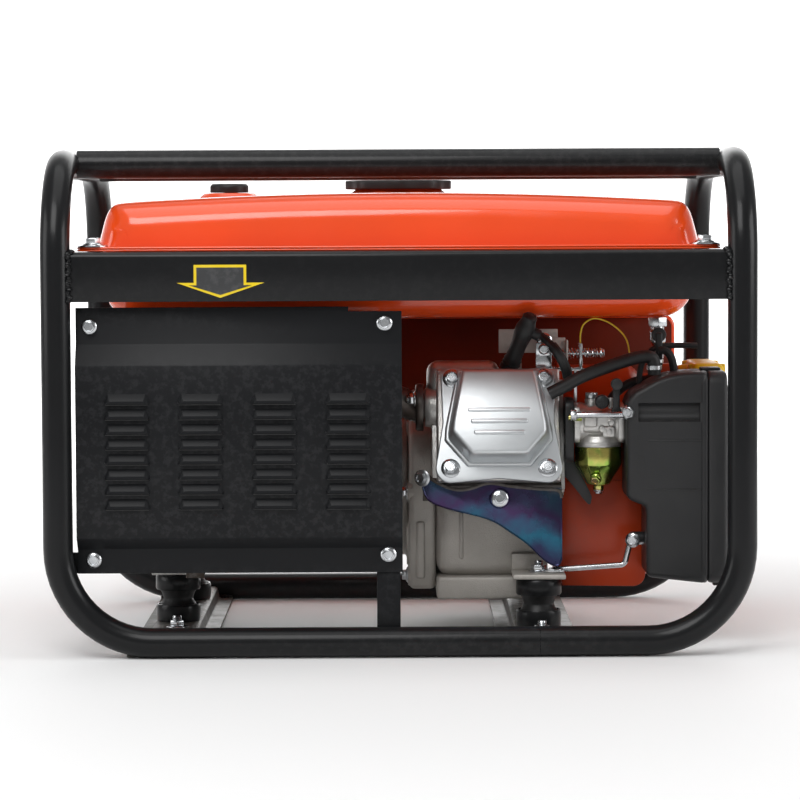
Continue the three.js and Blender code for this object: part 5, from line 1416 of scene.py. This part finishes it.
class GENERATOR_OT_starter(bpy.types.Operator):
    """Build the blower housing, the recoil starter and its grip"""
    bl_idname = "generator.starter"
    bl_label = "Blower and starter"

    def execute(self, context):
        shell = [(98, 142), (100, 142), (100, 206), (97.6, 213), (92, 218.7), (64, 218.7), (64, 216.7),
                 (91, 216.7),
                 (96, 211.4), (98, 205)]
        rolled = [(99, 142), (101.6, 142), (102.4, 143.6), (101.6, 145.4), (99, 145.4)]
        apron = extruded("apron", "y", [(143, 139), (143, 46), *arc(206, 56, 11, -90, 0, 6), (217.4, 139)],
                         -86.2, -84.6,
                         0.6, 3)
        housing = joined("blower_piece", turned("shell", "x", shell, CRANK, 72, 0.5),
                         turned("rolled", "x", rolled, CRANK, 72, 0.5), apron)
        finished(housing, "blower", nodes=["blower_housing"], angle=38)
        dome = [(0, 262), (54, 262), (58, 260.6), (90, 249.5), (92, 246), (92, 219), (89.5, 219),
                (89.5, 246), (54, 259.5),
                (8, 259.5), (8, 226), (0, 226)]
        cover = turned("cover", "x", dome, CRANK, 64)
        slots = []
        for i in range(10):
            t = TAU * i / 10
            cut = block("slot", 240, 268, -3.4, 3.4, 62, 84, 2.4, 3)
            cut.data.transform(Matrix.Translation(Vector((0, *CRANK)) * MM) @ Matrix.Rotation(t, 4, "X"))
            slots.append(cut)
        carve(cover, *slots)
        centre = [turned("ring", "x", [(38, 261), (44, 261), (43, 263.4), (39, 263.4)], CRANK, 56, 0.6),
                  turned("hub", "x", [(0, 261), (18, 261), (16, 264), (0, 264)], CRANK, 40, 0.8)]
        guide = block("guide", 230, 250, -45, -25, 222, 240, 3, 3)
        carve(guide, rod("eye", 4, (225, -35, 232), (255, -35, 232), 24))
        finished(joined("starter_cover", cover, guide, *centre), "blower", nodes=["recoil_housing"], angle=36)
        eyes = [around_crank(96, turn) for turn in (0.9, 2.5, 4.0, 5.4)]
        ear = [(0, 219.4), (8, 219.4), (8, 222), (0, 222)]
        tabs = [turned("tab", "x", ear, eye, 20, 0.5) for eye in eyes]
        finished(joined("starter_tabs", *tabs), "blower")
        placed_bolts("starter_bolts", [((222, *eye), (1, 0, 0)) for eye in eyes], size=4.6, flange=6.4)
        bar = [block("bar", 258, 288, -80, 10, 222, 242, 7, 5),
               turned("stem", "x", [(0, 250.3), (6.4, 250.3), (8, 262), (0, 262)],
                                                                      (-35, 232), 28, 0.8)]
        ridge = [block("ridge", 256.8, 289.2, y, y + 3, 223, 241, 1.2, 2) for y in (-72, -66, -10, -4)]
        grip = joined("starter_grip_piece", *bar, *ridge)
        finished(grip, "yellow", "starter_grip", ["recoil_grip"], angle=40)
        rope = tube("starter_rope", [(232 + 28 * i / 48, -35, 232) for i in range(49)], 2.3, 14)
        smooth(rope, 40)
        rope.data.materials.append(FINISHES["foam"])
        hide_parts("recoil_rope")
        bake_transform(rope)
        refinish("plastic", "recoil_pulley")
        refinish("cast", "flywheel_fan")
        refinish("steel", "crankshaft")
        return {"FINISHED"}


class GENERATOR_OT_alternator(bpy.types.Operator):
    """Build the alternator end bell, stator and adapter with their vents and tie bolts"""
    bl_idname = "generator.alternator"
    bl_label = "Alternator"

    def execute(self, context):
        bell = [(13.5, -250), (66, -250), (70, -249), (84, -240), (86, -236), (86, -170), (82, -170),
                (82, -234), (66, -246),
                (13.5, -246)]
        shell = turned("bell", "x", bell, CRANK, 64, 0.8)
        vents = []
        for i in range(10):
            cut = block("vent", -256, -228, -4, 4, 30, 62, 3, 3)
            turn_about(cut, (0, *CRANK), TAU * i / 10, "X")
            vents.append(cut)
        for i in range(12):
            cut = block("vent", -216, -186, -5, 5, 76, 92, 3, 3)
            turn_about(cut, (0, *CRANK), TAU * (i + 0.5) / 12, "X")
            vents.append(cut)
        carve(shell, *vents)
        foot = [block("foot", -220, -176, -87, 117, 57, 61.7, 1.2)]
        leg = block("leg", -220, -176, -25, 55, 57, 70, 2)
        hollow = rod("hollow", 82, (-230, *CRANK), (-160, *CRANK), 64)
        carve(leg, hollow)
        finished(joined("alternator_bell", shell, leg, *foot), "cast", nodes=["alternator_end_bell"],
                 angle=36)
        ribs = []
        for i in range(54):
            x = -169.5 + 2 * i
            ribs += [(83, x), (83, x + 1.5), (82.3, x + 1.7)]
        core = turned("core", "x", [(60, -169.7)] + ribs + [(83, -60), (60, -59.7)], CRANK, 56)
        finished(core, "steel", nodes=["alternator_stator"]).name = "stator_core"
        flare = [(78, -59.4), (86, -59.4), (86, -38), (72, 6), (70, 7.7), (58, 7.7), (78, -39.6)]
        hood = turned("hood", "x", flare, CRANK, 64, 0.8)
        slots = []
        for i in range(8):
            cut = block("slot", -34, -10, -9, 9, 60, 92, 4, 3)
            turn_about(cut, (0, *CRANK), TAU * (i + 0.5) / 8, "X")
            slots.append(cut)
        finished(carve(hood, *slots), "cast", nodes=["alternator_adapter"]).name = "adapter_piece"
        spots = [around_crank(87, turn) for turn in (0.8, 2.35, 3.9, 5.5)]
        ties = [rod("tie", 2.6, (-238, *spot), (-44, *spot), 16) for spot in spots]
        finished(joined("tie_rods", *ties), "zinc")
        placed_bolts("tie_heads", [((-238, *spot), (-1, 0, 0)) for spot in spots], size=4.4, flange=6)
        refinish("copper", "alternator_rotor")
        return {"FINISHED"}


class GENERATOR_OT_control_panel(bpy.types.Operator):
    """Build the control panel with its sockets, meter, switch, breaker, terminals and the oil filler cap"""
    bl_idname = "generator.control_panel"
    bl_label = "Control panel"

    def execute(self, context):
        face, mid = 203, 228.5
        sockets, meter, breaker, oil_plug = (20, 90), (232, mid + 21), 205, (60, 78)
        box = extruded("box", "y", rounded(-30, 262, 178, 279, 11, 6), 128, face, 2.2, 3)
        carve(box, extruded("hollow", "y", rounded(-28, 260, 180, 277, 9, 5), 130, face - 2))
        rim = extruded("rim", "y", rounded(-26, 258, 182, 275, 9, 6), face - 0.5, face + 1.2, 0.8, 3)
        carve(rim, extruded("field", "y", rounded(-23, 255, 185, 272, 7, 6), face - 3, face + 4))
        tabs = [joined("tab", block("t", x, x + 30, 199, 207.7, 269, 279, 0.8), block("t", x, x + 30, 204.7,
                                                                                      207.7, 269, 332, 0.8))
                for x in (-10, 210)]
        for x in sockets:
            carve(box, rod("s", 19, (x, 196, mid), (x, 206, mid), 40))
        carve(box, block("s", 152, 168, 197, 209, 216.5, 240.5), rod("s", 6, (breaker, 197, mid),
                                                                     (breaker, 209, mid), 24))
        finished(joined("panel_case", box, rim, *tabs), "orange", nodes=["panel_box"], angle=38)
        # A thin dark sheet laid over the back of the panel box: painted shade for the shadow there
        painted_shade_liner = extruded("panel_painted_shade_sheet", "y", rounded(-27, 259, 181, 276, 9, 6), 127.2, 128.4, 0.4)
        finished(painted_shade_liner, "painted_shade_liner")
        cups = []
        for x in sockets:
            cup = turned("cup", "y", [(0, 179), (25, 179), (25, 204.4), (23, 206), (19.6, 206), (18.6, 204),
                                      (18.6, 184.5),
                                      (0, 184.5)], (x, mid), 48, 0.6)
            pins = [rod("pin", 2.6, (x + d, 180, mid), (x + d, 190, mid), 16) for d in (-9.5, 9.5)]
            carve(cup, *pins)
            cups.append(cup)
        finished(joined("socket_wells", *cups), "plastic")
        clips = [block("clip", x - 3, x + 3, 184, 196, mid + s * 17.6 - 1, mid + s * 17.6 + 1, 0.5)
                 for x in sockets for s in (-1, 1)]
        finished(joined("socket_earths", *clips), "zinc")
        bezel = turned("bezel", "y", [(17, face - 1), (21, face - 1), (21, face + 3.2), (19, face + 4.4),
                                      (17, face + 3)], meter, 48, 0.5)
        finished(bezel, "plastic").name = "meter_bezel"
        dial = turned("dial", "y", [(0, face), (17.2, face), (17.2, face + 1.2), (0, face + 1.2)], meter, 48)
        finished(dial, "dial").name = "meter_dial"
        ticks = []
        for i in range(9):
            t = math.radians(210 - 30 * i)
            tick = block("tick", -0.4, 0.4, face + 1.1, face + 1.5, 11.5, 14.8)
            turn_about(tick, (meter[0], 0, meter[1]), t - math.pi / 2, "Y")
            ticks.append(tick)
        needle = block("needle", -0.5, 0.5, face + 1.5, face + 2.1, -3, 12)
        turn_about(needle, (meter[0], 0, meter[1]), -0.7, "Y")
        finished(joined("meter_ticks", needle, *ticks), "ink")
        lens = turned("lens", "y", [(0, face + 2.8), (17, face + 2.8), (17, face + 3.2), (0, face + 3.6)],
                      meter, 40)
        finished(lens, "glass").name = "meter_lens"
        posts = [turned("post", "y", [(0, face - 2), (7, face - 2), (7, face + 2), (4, face + 3),
                                      (5.6, face + 5), (5.6, face + 9),
                                      (0, face + 10)], (x, 200), 24, 0.6) for x in (124, 140)]
        finished(posts[0], "red").name = "terminal_plus"
        finished(posts[1], "plastic").name = "terminal_minus"
        refinish("red", "engine_switch")
        button = [rod("b", 5.4, (breaker, 193, mid), (breaker, 209, mid), 28, rounding=1.2),
                  rod("b", 8, (breaker, 191, mid), (breaker, 195, mid), 28)]
        finished(joined("breaker_piece", *button), "plastic", "breaker", ["breaker_button"])
        frame_ring = [block("f", 149, 171, face, face + 1.6, 213.5, 243.5, 1, 2)]
        carve(frame_ring[0], block("h", 152, 168, 190, 215, 216.5, 240.5))
        finished(joined("switch_frame", *frame_ring), "plastic")
        collar = turned("collar", "y", [(6.2, face), (9.5, face), (9, face + 2), (6.2, face + 2)],
                        (breaker, mid), 32, 0.4)
        finished(collar, "zinc").name = "breaker_collar"
        placed_bolts("panel_screws", [((x, face + 0.2, z), (0, 1, 0)) for x in (-18, 250)
                                      for z in (189, 268)], size=3.6,
                     height=3, flange=5)
        x, z = oil_plug
        oil = [rod("neck", 9.5, (x, 96.3, z), (x, 110.3, z), 28), rod("cap", 15, (x, 108.3, z),
                                                                      (x, 113.3, z), 32, rounding=1),
               block("wing", 46, 74, 111, 122.3, 75, 81, 2, 3)]
        nubs = [(x + 14.6 * math.cos(TAU * i / 16), z + 14.6 * math.sin(TAU * i / 16)) for i in range(16)]
        ring = [rod("nub", 1.6, (u, 108.6, v), (u, 113, v), 10) for u, v in nubs]
        finished(joined("oil_cap_piece", *oil, *ring), "plastic", "oil_cap", ["oil_filler_cap"])
        return {"FINISHED"}


class GENERATOR_OT_stage(bpy.types.Operator):
    """Set up the pale floor, the soft lights and the camera"""
    bl_idname = "generator.stage"
    bl_label = "Studio stage"

    def execute(self, context):
        studio = settings("generator_studio")
        sweep = [(-6000, 0), (2200, 0)] + arc(2200, 1800, 1800, -90, 0, 16)[1:] + [(4000, 6000)]
        floor = outline_ring("floor", [(-6000, y, z - 0.4) for y, z in sweep], "NOTHING")
        bpy.ops.object.mode_set(mode="EDIT")
        bpy.ops.mesh.select_all(action="DESELECT")
        bpy.ops.object.mode_set(mode="OBJECT")
        last = len(sweep) - 1
        for edge in floor.data.edges:
            edge.select = set(edge.vertices) == {0, last}
        bpy.ops.object.mode_set(mode="EDIT")
        bpy.ops.mesh.delete(type="EDGE_FACE")
        bpy.ops.mesh.select_all(action="SELECT")
        bpy.ops.mesh.extrude_region_move(TRANSFORM_OT_translate={"value": (12, 0, 0)})
        bpy.ops.object.mode_set(mode="OBJECT")
        smooth(floor, 60)
        pale = bpy.data.materials.new("Pale floor")
        pale.use_nodes = True
        shader = pale.node_tree.nodes["Principled BSDF"]
        shader.inputs["Base Color"].default_value = (0.93, 0.93, 0.93, 1)
        shader.inputs["Roughness"].default_value = 0.75
        floor.data.materials.append(pale)
        world = bpy.data.worlds.new("Soft studio")
        context.scene.world = world
        world.use_nodes = True
        tree = world.node_tree
        sky = tree.nodes["Background"]
        sky.inputs["Color"].default_value = (1, 1, 1, 1)
        sky.inputs["Strength"].default_value = 0.27
        lights = [("front_key", (-500, -1650, 1750), (0, 0, 200), 1.2, studio.key_power),
                  ("side_left", (-1900, -500, 700), (0, 0, 200), 1.0, 8),
                  ("side_right", (1900, -700, 800), (0, 0, 200), 1.0, 13),
                  ("top", (0, -150, 1900), (0, 0, 300), 1.5, 9),
                  ("backdrop", (0, 2300, 2600), (0, 4300, 900), 2.5, 150)]
        for name, place, aim, size, power in lights:
            bpy.ops.object.light_add(type="AREA", location=[c * MM for c in place])
            lamp = context.object
            lamp.name = name
            lamp.data.shape, lamp.data.size, lamp.data.energy = "SQUARE", size, power
            lamp.rotation_euler = (Vector(aim) - Vector(place)).to_track_quat("-Z", "Y").to_euler()
        yaw, pitch, roll = 0.0016, 0.0581, -0.005
        ahead = Vector((math.sin(yaw) * math.cos(pitch), math.cos(yaw) * math.cos(pitch), -math.sin(pitch)))
        level = Vector((math.cos(yaw), -math.sin(yaw), 0))
        up = level.cross(ahead)
        across, above = (level * math.cos(roll) + up * math.sin(roll),
                         up * math.cos(roll) - level * math.sin(roll))
        bpy.ops.object.camera_add(location=(-0.0039, -2.8502, 0.3719))
        camera = context.object
        camera.rotation_euler = Matrix((across, above, -ahead)).transposed().to_euler()
        camera.data.lens = studio.lens
        camera.data.sensor_width = 36
        camera.data.clip_end = 30
        context.scene.camera = camera
        context.scene.view_settings.view_transform = "Standard"
        return {"FINISHED"}


class GENERATOR_PT_panel(bpy.types.Panel):
    bl_idname = "GENERATOR_PT_panel"
    bl_label = "Portable generator"
    bl_space_type = "VIEW_3D"
    bl_region_type = "UI"
    bl_category = "Generator"

    def draw(self, context):
        for name in SETTINGS:
            for key in SETTINGS[name].__annotations__:
                self.layout.prop(settings(name), key)
        for operator in OPERATORS:
            self.layout.operator(operator.bl_idname)


SETTINGS = {"generator_frame": FramePaint, "generator_tank": TankLook, "generator_engine": EngineLook,
            "generator_studio": StudioSetup}
OPERATORS = (GENERATOR_OT_stage, GENERATOR_OT_frame, GENERATOR_OT_tank_rails, GENERATOR_OT_channels,
             GENERATOR_OT_mounts, GENERATOR_OT_tank, GENERATOR_OT_tank_fittings, GENERATOR_OT_shield,
             GENERATOR_OT_engine, GENERATOR_OT_valve_cover, GENERATOR_OT_shroud, GENERATOR_OT_ignition,
             GENERATOR_OT_exhaust, GENERATOR_OT_carburettor, GENERATOR_OT_air_cleaner, GENERATOR_OT_starter,
             GENERATOR_OT_alternator, GENERATOR_OT_control_panel)


def register():
    for cls in (*SETTINGS.values(), *OPERATORS, GENERATOR_PT_panel):
        bpy.utils.register_class(cls)
    for name, group in SETTINGS.items():
        setattr(bpy.types.Scene, name, bpy.props.PointerProperty(type=group))


def unregister():
    for name in SETTINGS:
        delattr(bpy.types.Scene, name)
    for cls in reversed((*SETTINGS.values(), *OPERATORS, GENERATOR_PT_panel)):
        bpy.utils.unregister_class(cls)


def main():
    register()
    deselect()
    make_finishes()
    for operator in OPERATORS:
        group, name = operator.bl_idname.split(".")
        getattr(getattr(bpy.ops, group), name)()


if __name__ == "__main__":
    main()
